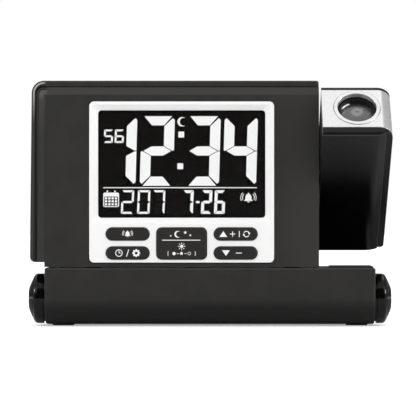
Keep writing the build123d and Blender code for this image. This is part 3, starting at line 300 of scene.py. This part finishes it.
def mouldedPlastic(name, level, warmth, roughness, grain, grainDepth, specular=0.3, shade=None):
    skin = Finish(name, {"Specular IOR Level": specular})
    cloud = skin.noise(90, 3, 0.6)
    speck = skin.noise(grain, 3, 0.65)
    pits = skin.node("TexVoronoi", {}, {"Vector": skin.place(), "Scale": grain * 0.8})
    mottle = cloud * 0.6 + speck * 0.4
    bump = skin.relief(speck * 0.65 + pits * 0.35, grainDepth * mm, 0.8, skin.softEdge(0.2 * mm))
    colour = skin.between(mottle.smooth(0.3, 0.7), grey(level * 0.86, warmth), grey(level * 1.14, warmth))
    if shade:
        colour = shade(skin, colour, level, warmth)
    rough = roughness + (cloud - 0.5) * 0.12 + (speck - 0.5) * 0.1
    return skin.show(Base_Color=colour, Roughness=rough, Normal=bump)


def polishedPlastic(name, level, warmth, roughness, specular, shade=None):
    skin = Finish(name, {"Specular IOR Level": specular})
    ripple = skin.noise(60, 2, 0.4)  # slight flow lines of the moulding
    smear = skin.noise(240, 4, 0.7)
    dust = skin.noise(5200, 1, 0.5)
    bump = skin.relief(ripple, 0.02 * mm, 0.5, skin.softEdge(0.25 * mm))
    colour = skin.between(dust.smooth(0.62, 0.8), grey(level, warmth), grey(level * 1.6 + 0.002, warmth))
    if shade:
        colour = shade(skin, colour, level, warmth)
    rough = roughness + smear.smooth(0.5, 0.8) * 0.08
    return skin.show(Base_Color=colour, Roughness=rough, Normal=bump)


def satinPaint(name, level, warmth, metallic, roughness, flake, shade=None):
    skin = Finish(name, {"Metallic": metallic})
    fleck = skin.node("TexVoronoi", {}, {"Vector": skin.place(), "Scale": flake})
    cloud = skin.noise(120, 2, 0.5)
    peel = skin.noise(900, 2, 0.5)
    bump = skin.relief(peel, 0.01 * mm, 0.6, skin.softEdge(0.2 * mm))
    colour = skin.between(fleck.smooth(0.1, 0.7), grey(level * 1.03, warmth), grey(level * 0.95, warmth))
    if shade:
        colour = shade(skin, colour, level, warmth)
    rough = roughness + (cloud - 0.5) * 0.08 + (fleck - 0.4) * 0.05
    return skin.show(Base_Color=colour, Roughness=rough, Normal=bump)


def plainMetal(name, level, roughness, along):
    skin = Finish(name, {"Metallic": 1.0})
    stretched = skin.node("Mapping", {}, {"Vector": skin.place(), "Scale": along})
    brush = skin.noise(3000, 4, 0.6, at=stretched)
    tarnish = skin.noise(300, 3, 0.6)
    colour = skin.between(tarnish.smooth(0.4, 0.75), grey(level), grey(level * 0.78, 0.04))
    rough = roughness + brush * 0.16
    return skin.show(Base_Color=colour, Roughness=rough, Normal=skin.relief(brush, 0.006 * mm, 0.5))


def rubber(name, level):
    skin = Finish(name)
    grain = skin.noise(4200, 3, 0.6)
    chalk = skin.noise(260, 3, 0.6)
    colour = skin.between(chalk.smooth(0.45, 0.8), grey(level), grey(level * 1.7))
    bump = skin.relief(grain, 0.02 * mm, 0.8)
    return skin.show(Base_Color=colour, Roughness=0.72 + grain * 0.2, Normal=bump)


def clearPlastic(name, tint, ior, roughness):
    skin = Finish(name, {"Transmission Weight": 1.0, "IOR": ior, "Base Color": tint})
    smear = skin.noise(160, 4, 0.7)
    wave = skin.noise(50, 1, 0.5)
    rough = roughness + smear.smooth(0.55, 0.85) * 0.05
    return skin.show(Roughness=rough, Normal=skin.relief(wave, 0.004 * mm, 0.4))


def thinWindow(name, tint, cover):
    skin = Finish(name, {"Base Color": tint, "Specular IOR Level": 1.0})
    smear = skin.noise(160, 4, 0.7)
    return skin.show(Alpha=cover + smear.smooth(0.6, 0.85) * 0.012, Roughness=0.03 + smear * 0.03)


lensTones = {  # painted reflections and a painted glint; across and up from the lens's middle
    "wall": grey(0.16, -0.04),
    "dark": grey(0.03),
    "darkUp": (2.6 * mm, 6.2 * mm),
    "halo": grey(0.42),  # painted image of what shows of the condenser
    "haloPlace": (0.15 * mm, 0.5 * mm),
    "haloIn": (0.4 * mm, 1.3 * mm),
    "haloOut": (1.7 * mm, 3.0 * mm),
    "haloWaver": 0.9 * mm,
    "paintedGlint": grey(0.85),
    "glintReach": (6.3 * mm, 6.9 * mm, 0.3 * mm),
    "glintWay": (0.77, 0.637),  # the direction that its length is measured in
    "glintLength": (1.4 * mm, 2.2 * mm),
    "glintEnd": (-1.8 * mm, -1.2 * mm),
}


def coatedLens(name, middle):
    tones = lensTones
    fixed = {"Transmission Weight": 0.6, "IOR": 1.49, "Coat Roughness": 0.02, "Emission Strength": 1.0}
    skin = Finish(name, fixed)
    across, up = lensPlane(skin, middle)
    swirl = skin.noise(240, 2, 0.5)
    spread = away(across - tones["haloPlace"][0], up - tones["haloPlace"][1])
    spread = spread + (swirl - 0.5) * tones["haloWaver"]
    halo = spread.smooth(*tones["haloIn"]) * (1 - spread.smooth(*tones["haloOut"]))
    # painted reflection of the bore wall, darker towards the top
    behind = skin.between(up.smooth(*tones["darkUp"]), tones["wall"], tones["dark"])
    colour = skin.between(halo, behind, tones["halo"])
    # a painted glint that glows at the upper left rim
    along = across * tones["glintWay"][0] + up * tones["glintWay"][1]
    paintedGlint = band(away(across, up), *tones["glintReach"])
    paintedGlint = paintedGlint * (1 - along.maths("ABSOLUTE", along).smooth(*tones["glintLength"]))
    paintedGlint = paintedGlint * (1 - across.smooth(*tones["glintEnd"]))
    glow = skin.between(paintedGlint, grey(0), tones["paintedGlint"])
    rough, coat = 0.03 + swirl * 0.05, 0.5 + swirl * 0.4
    return skin.show(Base_Color=colour, Roughness=rough, Coat_Weight=coat, Emission_Color=glow)


def displayGlass(name):
    skin = Finish(name, {"Specular IOR Level": 0.1})
    grid = skin.noise(700, 1, 0.4)
    colour = skin.between(grid.smooth(0.4, 0.7), (0.0036, 0.0026, 0.0022, 1), (0.0052, 0.0038, 0.0032, 1))
    return skin.show(Base_Color=colour, Roughness=0.16 + grid * 0.08)


def circuitBoard(name):
    skin = Finish(name)
    bricks = {"Vector": skin.place(), "Scale": 70, "Mortar Size": 0.035, "Brick Width": 0.9}
    track = 1 - skin.node("TexBrick", {"offset": 0.37}, bricks, output=1)
    weave = skin.noise(1800, 2, 0.5)
    colour = skin.between(track, (0.008, 0.07, 0.028, 1), (0.02, 0.14, 0.05, 1))
    rough = 0.34 + weave * 0.14
    return skin.show(Base_Color=colour, Roughness=rough, Normal=skin.relief(track, 0.03 * mm, 0.6))


def glowingPrint(name, level, glow):
    skin = Finish(name, {"Emission Strength": glow})
    mottle = skin.noise(900, 2, 0.5)
    colour = skin.between(mottle, grey(level * 0.97, 0.004), grey(level, -0.002))
    return skin.show(Base_Color=colour, Emission_Color=colour, Roughness=0.35 + mottle * 0.1)


def inkPrint(name, level):
    skin = Finish(name)
    grain = skin.noise(2600, 3, 0.6)
    colour = skin.between(grain.smooth(0.35, 0.7), grey(level, 0.01), grey(level * 0.88, 0.01))
    bump = skin.relief(grain, 0.01 * mm, 0.5)
    return skin.show(Base_Color=colour, Roughness=0.42 + grain * 0.2, Normal=bump)


def lightGuide(name):
    skin = Finish(name, {"Subsurface Weight": 0.3, "Subsurface Radius": (0.002, 0.002, 0.002)})
    dots = skin.node("TexVoronoi", {}, {"Vector": skin.place(), "Scale": 900})
    colour = skin.between(dots.smooth(0.2, 0.4), grey(0.88), grey(0.78, -0.01))
    return skin.show(Base_Color=colour, Roughness=0.4 + dots * 0.2)


def cellSleeve(name, left, right):  # wrapped sleeve with a bare steel end each side
    skin = Finish(name)
    across, blur = skin.axis(0), 0.3 * mm
    inside = across.smooth(left, left + blur) * (1 - across.smooth(right - blur, right))
    stripe = across.smooth(right - 13 * mm, right - 13 * mm + blur)
    scuff = skin.noise(700, 4, 0.7)
    wrap = skin.between(stripe, grey(0.018, -0.03), (0.42, 0.40, 0.36, 1))
    colour = skin.between(inside, grey(0.55), wrap)
    return skin.show(Base_Color=colour, Metallic=1 - inside * 0.8, Roughness=0.24 + scuff * 0.16)


look = {
    "charcoal": {"level": 0.019, "warmth": 0.05, "roughness": 0.56, "grain": 3000, "grainDepth": 0.035,
                 "specular": 0.22},
    "shell": {"level": 0.011, "warmth": 0.06, "roughness": 0.4, "grain": 3600, "grainDepth": 0.02,
              "specular": 0.2},
    "gloss": {"level": 0.0006, "warmth": 0.05, "roughness": 0.22, "specular": 0.19},
    "capGloss": {"level": 0.002, "warmth": 0.08, "roughness": 0.1, "specular": 0.2},
    "silver": {"level": 0.78, "warmth": 0.0, "metallic": 0.8, "roughness": 0.26, "flake": 5200},
    "white": {"level": 0.84, "warmth": 0.003, "metallic": 0.0, "roughness": 0.38, "flake": 5200},
    "button": {"level": 0.015, "warmth": 0.08, "roughness": 0.46, "grain": 4200, "grainDepth": 0.015,
               "specular": 0.24},
    "innerBlack": {"level": 0.012, "warmth": 0.0, "roughness": 0.6, "grain": 2600, "grainDepth": 0.03},
    "acetal": {"level": 0.62, "warmth": 0.03, "roughness": 0.42, "grain": 2000, "grainDepth": 0.02},
    "steel": {"level": 0.62, "roughness": 0.22, "along": (1, 1, 8)},
    "darkSteel": {"level": 0.09, "roughness": 0.36, "along": (1, 8, 1)},
    "soft": {"level": 0.018},
    "window": {"tint": grey(0.02), "cover": 0.1},
    "optic": {"tint": (0.93, 0.95, 0.97, 1), "ior": 1.49, "roughness": 0.02},
    "lit": {"level": 0.8, "glow": 0.48},
    "ink": {"level": 0.86},
    "cellEnds": (1.2 * mm, 2.4 * mm),  # bare steel at the left and right ends
}
lensBox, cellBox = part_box("projection_lens"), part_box("battery_cells")
lit = glowingPrint("litSegments", **look["lit"])
ink = inkPrint("whiteInk", **look["ink"])
wears = (  # each finish and the pieces that wear it
    (mouldedPlastic("charcoalPlastic", **look["charcoal"]), "hinge_bracket focus_ring"),
    (mouldedPlastic("baseCharcoal", shade=baseShade, **look["charcoal"]),
     "base_housing base_bottom_cover battery_door"),
    (mouldedPlastic("faceCharcoal", shade=faceShade, **look["charcoal"]), "front_housing"),
    (mouldedPlastic("rimCharcoal", shade=rimShade, **look["charcoal"]), "rear_housing"),
    (mouldedPlastic("shellPlastic", **look["shell"]), "arm_rear_shell"),
    (polishedPlastic("polishedBlack", shade=coverShade, **look["gloss"]), "arm_front_cover"),
    (polishedPlastic("capBlack", **look["capGloss"]), "end_cap_left end_cap_right supply_socket"),
    (satinPaint("silverPaint", shade=ringSeam, **look["silver"]), "arm_nose lens_ring"),
    (satinPaint("whitePaint", **look["white"]), "display_bezel"),
    (mouldedPlastic("buttonPlastic", **look["button"]),
     "alarm_button mode_set_button up_button down_button snooze_light_button"),
    (mouldedPlastic("innerBlack", **look["innerBlack"]),
     "tact_switches board_chips buzzer lens_guide lens_barrel light_box"),
    (mouldedPlastic("acetal", **look["acetal"]), "pivot_bush arm_pivot_shaft"),
    (plainMetal("platedSteel", **look["steel"]),
     "battery_contacts hinge_pin_left hinge_pin_right hinge_washers board_screws pivot_spring_washer "
     "pivot_retaining_ring focus_clip"),
    (plainMetal("blackenedSteel", **look["darkSteel"]), "base_screws case_screws arm_screws"),
    (rubber("softRubber", **look["soft"]), "rubber_feet connector_strips"),
    (thinWindow("clearWindow", **look["window"]), "lcd_window"),
    (coatedLens("coatedLens", (lensBox[0] + lensBox[1]) / 2), "projection_lens"),
    (clearPlastic("opticGlass", **look["optic"]), "condenser_lens projector_led"),
    (displayGlass("displayGlass"), "lcd_panel projection_film"),
    (circuitBoard("circuitBoard"), "main_board supply_board projector_board"),
    (lightGuide("lightGuide"), "backlight_panel"),
    (cellSleeve("cellSleeve", cellBox[0].x + look["cellEnds"][0], cellBox[1].x - look["cellEnds"][1]),
     "battery_cells"),
)
for material, names in wears:
    for name in names.split():
        slots = nodes[name].data.materials
        slots.clear()
        slots.append(material)
dressed = {name for material, names in wears for name in names.split()}
print("finishes on", len(dressed), "nodes, left bare:", sorted(set(nodes) - dressed))


def outlinePlate(name, shapes, depth, thick, material, body):  # flat shapes in mm, across and up
    drawn = bpy.data.curves.new(name, "CURVE")
    drawn.dimensions = "2D"
    drawn.fill_mode = "BOTH"
    drawn.extrude = thick / 2
    for points in shapes:
        line = drawn.splines.new("POLY")
        line.points.add(len(points) - 1)
        for point, (across, up) in zip(line.points, points):
            point.co = (across * mm, up * mm, 0, 1)
        line.use_cyclic_u = True
    drawn.materials.append(material)
    piece = bpy.data.objects.new(name, drawn)
    bpy.context.collection.objects.link(piece)
    piece.matrix_world = Matrix.Translation((0, depth, 0)) @ Matrix.Rotation(math.pi / 2, 4, "X")
    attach(piece, body)


def moved(shapes, across, up, size=1):
    return [[(across + x * size, up + z * size) for x, z in points] for points in shapes]


def arcPoints(radius, start, end, steps, across=0, up=0):
    angles = [math.radians(start + (end - start) * step / steps) for step in range(steps + 1)]
    return [(across + radius * math.cos(angle), up + radius * math.sin(angle)) for angle in angles]


def disc(radius, across=0, up=0):
    return [arcPoints(radius, 0, 345, 23, across, up)]


def arcBand(radius, wide, start, end):
    outer = arcPoints(radius + wide / 2, start, end, 24)
    return [outer + arcPoints(radius - wide / 2, end, start, 24)]


def ringBand(radius, wide):
    return disc(radius + wide / 2) + disc(radius - wide / 2)


def block(left, right, low, high):
    return [[(left, low), (right, low), (right, high), (left, high)]]


def softBlock(left, right, low, high, radius):  # block with rounded corners
    near, far, under, over = left + radius, right - radius, low + radius, high - radius
    points = []
    for x, z, turn in ((far, over, 0), (near, over, 90), (near, under, 180), (far, under, 270)):
        points += arcPoints(radius, turn, turn + 90, 5, x, z)
    return [points]


def stroke(x0, z0, x1, z1, wide):
    along = math.hypot(x1 - x0, z1 - z0)
    x, z = -(z1 - z0) / along * wide / 2, (x1 - x0) / along * wide / 2  # half the width, sideways
    return [[(x0 + x, z0 + z), (x0 - x, z0 - z), (x1 - x, z1 - z), (x1 + x, z1 + z)]]


lcdSegments = {
    "0": "abcdef", "1": "bc", "2": "abged", "3": "abgcd",
    "4": "fgbc", "5": "afgcd", "6": "afgedc", "7": "abc",
}
digitRows = {  # sizes in mm; places give each digit and its right side
    "timeDigits": {
        "low": 56.43, "wide": 13.35, "high": 27.9, "upright": 4.1, "level": 3.68, "gap": 0.17, "tip": 0.78,
        "slant": 1.6, "places": (("1", -29.14), ("2", -14.09), ("3", 4.33), ("4", 19.24)),
    },
    "dateDigits": {
        "low": 45.15, "wide": 4.3, "high": 9.5, "upright": 1.2, "level": 1.15, "gap": 0.06, "tip": 0.16,
        "slant": 2.5, "places": (("7", -6.5), ("2", 1.0), ("6", 6.25)),
    },
    "countDigits": {
        "low": 45.15, "wide": 5.0, "high": 9.5, "upright": 0.85, "level": 0.85, "gap": 0.12, "tip": 0.12,
        "slant": 2.5, "places": (("2", -30.4), ("0", -23.9), ("7", -17.9)),
    },
    "smallDigits": {
        "low": 73.6, "wide": 3.7, "high": 5.4, "upright": 0.8, "level": 0.75, "gap": 0.07, "tip": 0.12,
        "slant": 3.0, "places": (("5", -38.75), ("6", -34.4)),
    },
}


def segmentDigit(character, right, row):
    wide, high, gap, tip = row["wide"], row["high"], row["gap"], row["tip"]
    upright, level = row["upright"], row["level"]
    middle, inner = high / 2, wide - upright
    post = [(wide - tip, high - tip), (wide, high - 2 * tip), (wide, middle + gap),
            (wide - tip, middle + gap), (inner, middle + level / 2 + gap), (inner, high - level - 2 * gap)]
    beam = [(tip + 2 * gap, high), (wide - tip - 2 * gap, high), (inner - gap, high - level),
            (upright + gap, high - level)]
    crossbar = [(tip + 2 * gap, middle), (upright + gap, middle + level / 2),
                (inner - gap, middle + level / 2), (wide - tip - 2 * gap, middle),
                (inner - gap, middle - level / 2), (upright + gap, middle - level / 2)]
    shapes = {
        "a": beam,
        "b": post,
        "c": [(x, high - z) for x, z in post],
        "d": [(x, high - z) for x, z in beam],
        "e": [(wide - x, high - z) for x, z in post],
        "f": [(wide - x, z) for x, z in post],
        "g": crossbar,
    }
    left, low, slant = right - wide, row["low"], math.tan(math.radians(row["slant"]))
    drawn = [shapes[segment] for segment in lcdSegments[character]]
    return [[(left + x + (z - high) * slant, low + z) for x, z in points] for points in drawn]


printThick = {"display": 0.04 * mm, "button": 0.03 * mm}
printLift = {"display": 0.03 * mm, "button": 0.02 * mm}  # its middle, in front of what it is on
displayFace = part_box("lcd_panel")[0].y - printLift["display"]
for name, row in digitRows.items():
    digits = []
    for character, right in row["places"]:
        digits += segmentDigit(character, right, row)
    outlinePlate(name, digits, displayFace, printThick["display"], lit, "head")


def crescent(radius, across, up):
    outer = arcPoints(radius, 50, 310, 28)
    inner = arcPoints(radius * 0.83, 292, 68, 24, radius * 0.33, 0)
    return moved([outer + inner], across, up)


def bell(size, across, up):  # its points are in shares of size
    left = [(-0.9, -0.62), (-0.62, -0.3), (-0.6, 0.15)]
    right = [(-x, z) for x, z in reversed(left)]
    shapes = [left + arcPoints(0.55, 165, 15, 14, 0, 0.22) + right, arcPoints(0.22, 180, 360, 8, 0, -0.7)]
    shapes += disc(0.13, 0, 0.88)
    for radius, spread in ((1.15, 34), (1.5, 36)):
        shapes += arcBand(radius, 0.13, 14 - spread, 6 + spread)
        shapes += arcBand(radius, 0.13, 174 - spread, 166 + spread)
    return moved(shapes, across, up, size)


calendarSign = {  # left, right, low and high sides in mm, then a corner radius
    "sheet": (-42.85, -36.5, 47.9, 53.7, 0.7),
    "page": (-42.45, -36.9, 48.25, 52.1, 0.35),
    "firstDay": (-42.15, -41.25, 48.55, 49.4),
    "days": (4, 3),  # columns and rows
    "pitch": (1.32, 1.2),
    "hooks": ((-41.5, -40.9), (-38.45, -37.85)),
    "hookHeight": (53.9, 54.5),
}


def calendar(sign):
    shapes = softBlock(*sign["sheet"]) + softBlock(*sign["page"])
    for column in range(sign["days"][0]):
        for row in range(sign["days"][1]):
            shapes += moved(block(*sign["firstDay"]), column * sign["pitch"][0], row * sign["pitch"][1])
    for left, right in sign["hooks"]:
        shapes += block(left, right, *sign["hookHeight"])
    return shapes


displaySigns = {
    "colonDots": block(-12.7, -10.4, 75.8, 78.15) + block(-13.1, -10.8, 63.1, 65.45),
    "displayRule": block(-42.85, 18.77, 55.46, 55.84),
    "dateDash": block(-5.65, -4.2, 49.45, 50.3),
    "calendarIcon": calendar(calendarSign),
    "bellIcon": bell(2.05, 15.4, 51.6),
    "moonIcon": crescent(1.9, -11.2, 82.1),
}
for name, shapes in displaySigns.items():
    outlinePlate(name, shapes, displayFace, printThick["display"], lit, "head")
print("display drawn")

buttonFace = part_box("alarm_button")[0].y - printLift["button"]
dial = ringBand(1.15, 0.26) + stroke(0, -0.05, 0, 0.85, 0.26) + stroke(-0.08, 0, 0.62, 0, 0.26)


def gear(radius, teeth=8):
    points = []
    for tooth in range(teeth):
        for share, reach in ((-0.3, 0.78), (-0.2, 1.0), (0.2, 1.0), (0.3, 0.78)):
            angle = 2 * math.pi * (tooth + share) / teeth
            points.append((radius * reach * math.cos(angle), radius * reach * math.sin(angle)))
    return [points] + disc(radius * 0.36)


def sun(radius, rays=8):
    shapes = disc(radius * 0.45)
    for ray in range(rays):
        x, z = radius * math.cos(ray * 2 * math.pi / rays), radius * math.sin(ray * 2 * math.pi / rays)
        shapes += stroke(x * 0.65, z * 0.65, x, z, radius * 0.2)
    return shapes


def star(radius, tips=5):
    points = []
    for step in range(2 * tips):
        angle, reach = math.pi / 2 + step * math.pi / tips, radius * (1.0 if step % 2 == 0 else 0.42)
        points.append((reach * math.cos(angle), reach * math.sin(angle)))
    return [points]


def turnArrows(radius, wide):
    shapes = []
    for turn in (20, 200):
        shapes += arcBand(radius, wide, turn, turn + 130)
    for turn in (20, 200):
        out, on = math.cos(math.radians(turn)), math.sin(math.radians(turn))
        points = []
        for step, side in ((0, -1.5), (0, 1.5), (-2.0, 0)):  # the arrow's head, in widths
            points.append((radius * out + (side * out - step * on) * wide,
                           radius * on + (side * on + step * out) * wide))
        shapes.append(points)
    return shapes


halfDisc = ringBand(0.55, 0.16) + [arcPoints(0.5, 90, 270, 14)]
levelRow = moved(disc(0.62), -2.9, 0) + stroke(-1.9, 0, -1.1, 0, 0.2)
levelRow += halfDisc + stroke(1.1, 0, 1.9, 0, 0.2) + moved(ringBand(0.55, 0.16), 2.9, 0)
levelRow += arcBand(5.2, 0.2, 170, 190) + arcBand(5.2, 0.2, -10, 10)
plusSign = block(7.95, 10.05, 36.95, 37.25)
plusSign += block(8.85, 9.15, 37.25, 38.15) + block(8.85, 9.15, 36.05, 36.95)
stars = moved(star(0.75), -9.9, 37.7) + moved(star(0.55), -7.9, 36.6) + moved(star(0.45), -15.7, 36.4)
prints = {  # name: (shapes in mm, across and up, and the button they are on)
    "alarmPrint": (bell(1.35, -32.95, 37.15), "alarm_button"),
    "modePrint": (moved(dial, -36.4, 29.5, 1.15) + stroke(-33.4, 28.1, -32.5, 30.9, 0.32)
                  + moved(gear(1.6), -29.5, 29.5), "mode_set_button"),
    "upPrint": ([[(3.75, 35.95), (6.85, 35.95), (5.3, 38.25)]] + plusSign
                + block(11.55, 11.85, 35.85, 38.35) + moved(turnArrows(1.1, 0.34), 14.55, 37.1), "up_button"),
    "downPrint": ([[(4.8, 30.6), (7.9, 30.6), (6.35, 28.35)]] + block(10.3, 12.7, 29.35, 29.65),
                  "down_button"),
    "snoozePrint": (crescent(1.35, -12.9, 37.0) + stars + block(-19.2, -3.85, 34.5, 34.8)
                    + moved(sun(1.45), -11.35, 32.2) + moved(levelRow, -11.35, 29.3, 1.05),
                    "snooze_light_button"),
}
for name, (shapes, button) in prints.items():
    outlinePlate(name, shapes, buttonFace, printThick["button"], ink, button)
print("buttons printed")

studio = {
    "room": 1.0,  # brightness of the white room all round
    "floorSize": 6.0,
    "floorGlow": 0.35,
    "lamps": (  # place, aimed at, width, height, power
        ((-0.9, -1.2, 1.1), (0, 0, 0.05), 0.9, 0.9, 5.3),
        ((0.9, -0.9, 0.9), (0.03, 0, 0.05), 0.7, 0.9, 4.0),
        ((0.1, 0.5, 1.3), (0, 0, 0.05), 1.2, 0.6, 3.5),
    ),
    "cards": {  # name: place, aimed at, width, height, grey level, glow
        "frontCard": ((0, -1.8, 0.45), (0, 0, 0.05), 3.4, 2.6, 0.006, 0),
        "rightCard": ((1.1, 0.65, 0.75), (0.06, 0, 0.08), 1.9, 1.9, 0.28, 0),
        "leftCard": ((-1.5, -0.5, -0.05), (-0.07, 0, 0.01), 1.2, 0.9, 0.12, 0),
        "leftGlint": ((-1.35, -0.19, 0.56), (-0.07, 0, 0.02), 0.23, 0.24, 0.9, 45),
        "floorLeft": ((-0.17, 0.1, 0.002), (-0.17, 0.1, 1), 0.19, 0.19, 0.2, 0),
        "floorRight": ((0.17, 0.1, 0.002), (0.17, 0.1, 1), 0.19, 0.19, 0.2, 0),
        "backLeft": ((-1.1, 1.2, 0.25), (-0.07, 0, 0.01), 1.3, 1.3, 0.12, 0),
        "backRight": ((1.1, 1.2, -0.2), (0.07, 0, 0.01), 1.3, 1.0, 0.12, 0),
        "rightGlint": ((1.3, -0.35, 0.5), (0.07, 0, 0.02), 0.2, 0.28, 0.9, 60),
    },
}


def whiteRoom(strength):
    world = bpy.data.worlds.new("room")
    bpy.context.scene.world = world
    world.use_nodes = True
    ground = world.node_tree.nodes["Background"]
    ground.inputs["Color"].default_value = grey(1)
    ground.inputs["Strength"].default_value = strength


def flatSheet(name, segments, half):
    shape = bmesh.new()
    bmesh.ops.create_grid(shape, x_segments=segments, y_segments=segments, size=half)
    mesh = bpy.data.meshes.new(name)
    shape.to_mesh(mesh)
    shape.free()
    sheet = bpy.data.objects.new(name, mesh)
    bpy.context.collection.objects.link(sheet)
    return sheet


def pointed(thing, place, aim):
    thing.location = place
    thing.rotation_euler = (Vector(place) - Vector(aim)).to_track_quat("Z", "Y").to_euler()


def paleFloor(size, glow):
    floor = flatSheet("floor", 8, size / 2)
    skin = Finish("paleFloor", {"Roughness": 0.9, "Specular IOR Level": 0.1, "Emission Strength": 1.0})
    grain = skin.noise(14, 2, 0.5)
    seen = skin.node("LightPath")  # 1 where the camera looks straight at it
    shine = skin.between(seen, grey(0), grey(glow))
    cloth = skin.between(seen, grey(0.84), skin.between(grain, grey(0.86), grey(0.9)))
    floor.data.materials.append(skin.show(Base_Color=cloth, Emission_Color=shine))


def softLamp(place, aim, width, height, power):
    lamp = bpy.data.lights.new("softLamp", "AREA")
    lamp.shape = "RECTANGLE"
    lamp.size, lamp.size_y = width, height
    lamp.energy = power
    made = bpy.data.objects.new("softLamp", lamp)
    bpy.context.collection.objects.link(made)
    pointed(made, place, aim)


def card(name, place, aim, width, height, level, glow):  # only mirrored by polished surfaces
    sheet = flatSheet(name, 2, 0.5)
    pointed(sheet, place, aim)
    sheet.scale = (width, height, 1)
    for way in ("camera", "diffuse", "transmission", "volume_scatter", "shadow"):
        setattr(sheet, "visible_" + way, False)
    skin = Finish(name, {"Roughness": 0.9, "Specular IOR Level": 0.0, "Emission Strength": glow})
    shade = skin.between(skin.noise(6, 2, 0.5), grey(level), grey(level * 1.2))
    sheet.data.materials.append(skin.show(Base_Color=shade, Emission_Color=shade))


whiteRoom(studio["room"])
paleFloor(studio["floorSize"], studio["floorGlow"])
for name, settings in studio["cards"].items():
    card(name, *settings)
for settings in studio["lamps"]:
    softLamp(*settings)
print("studio lit")
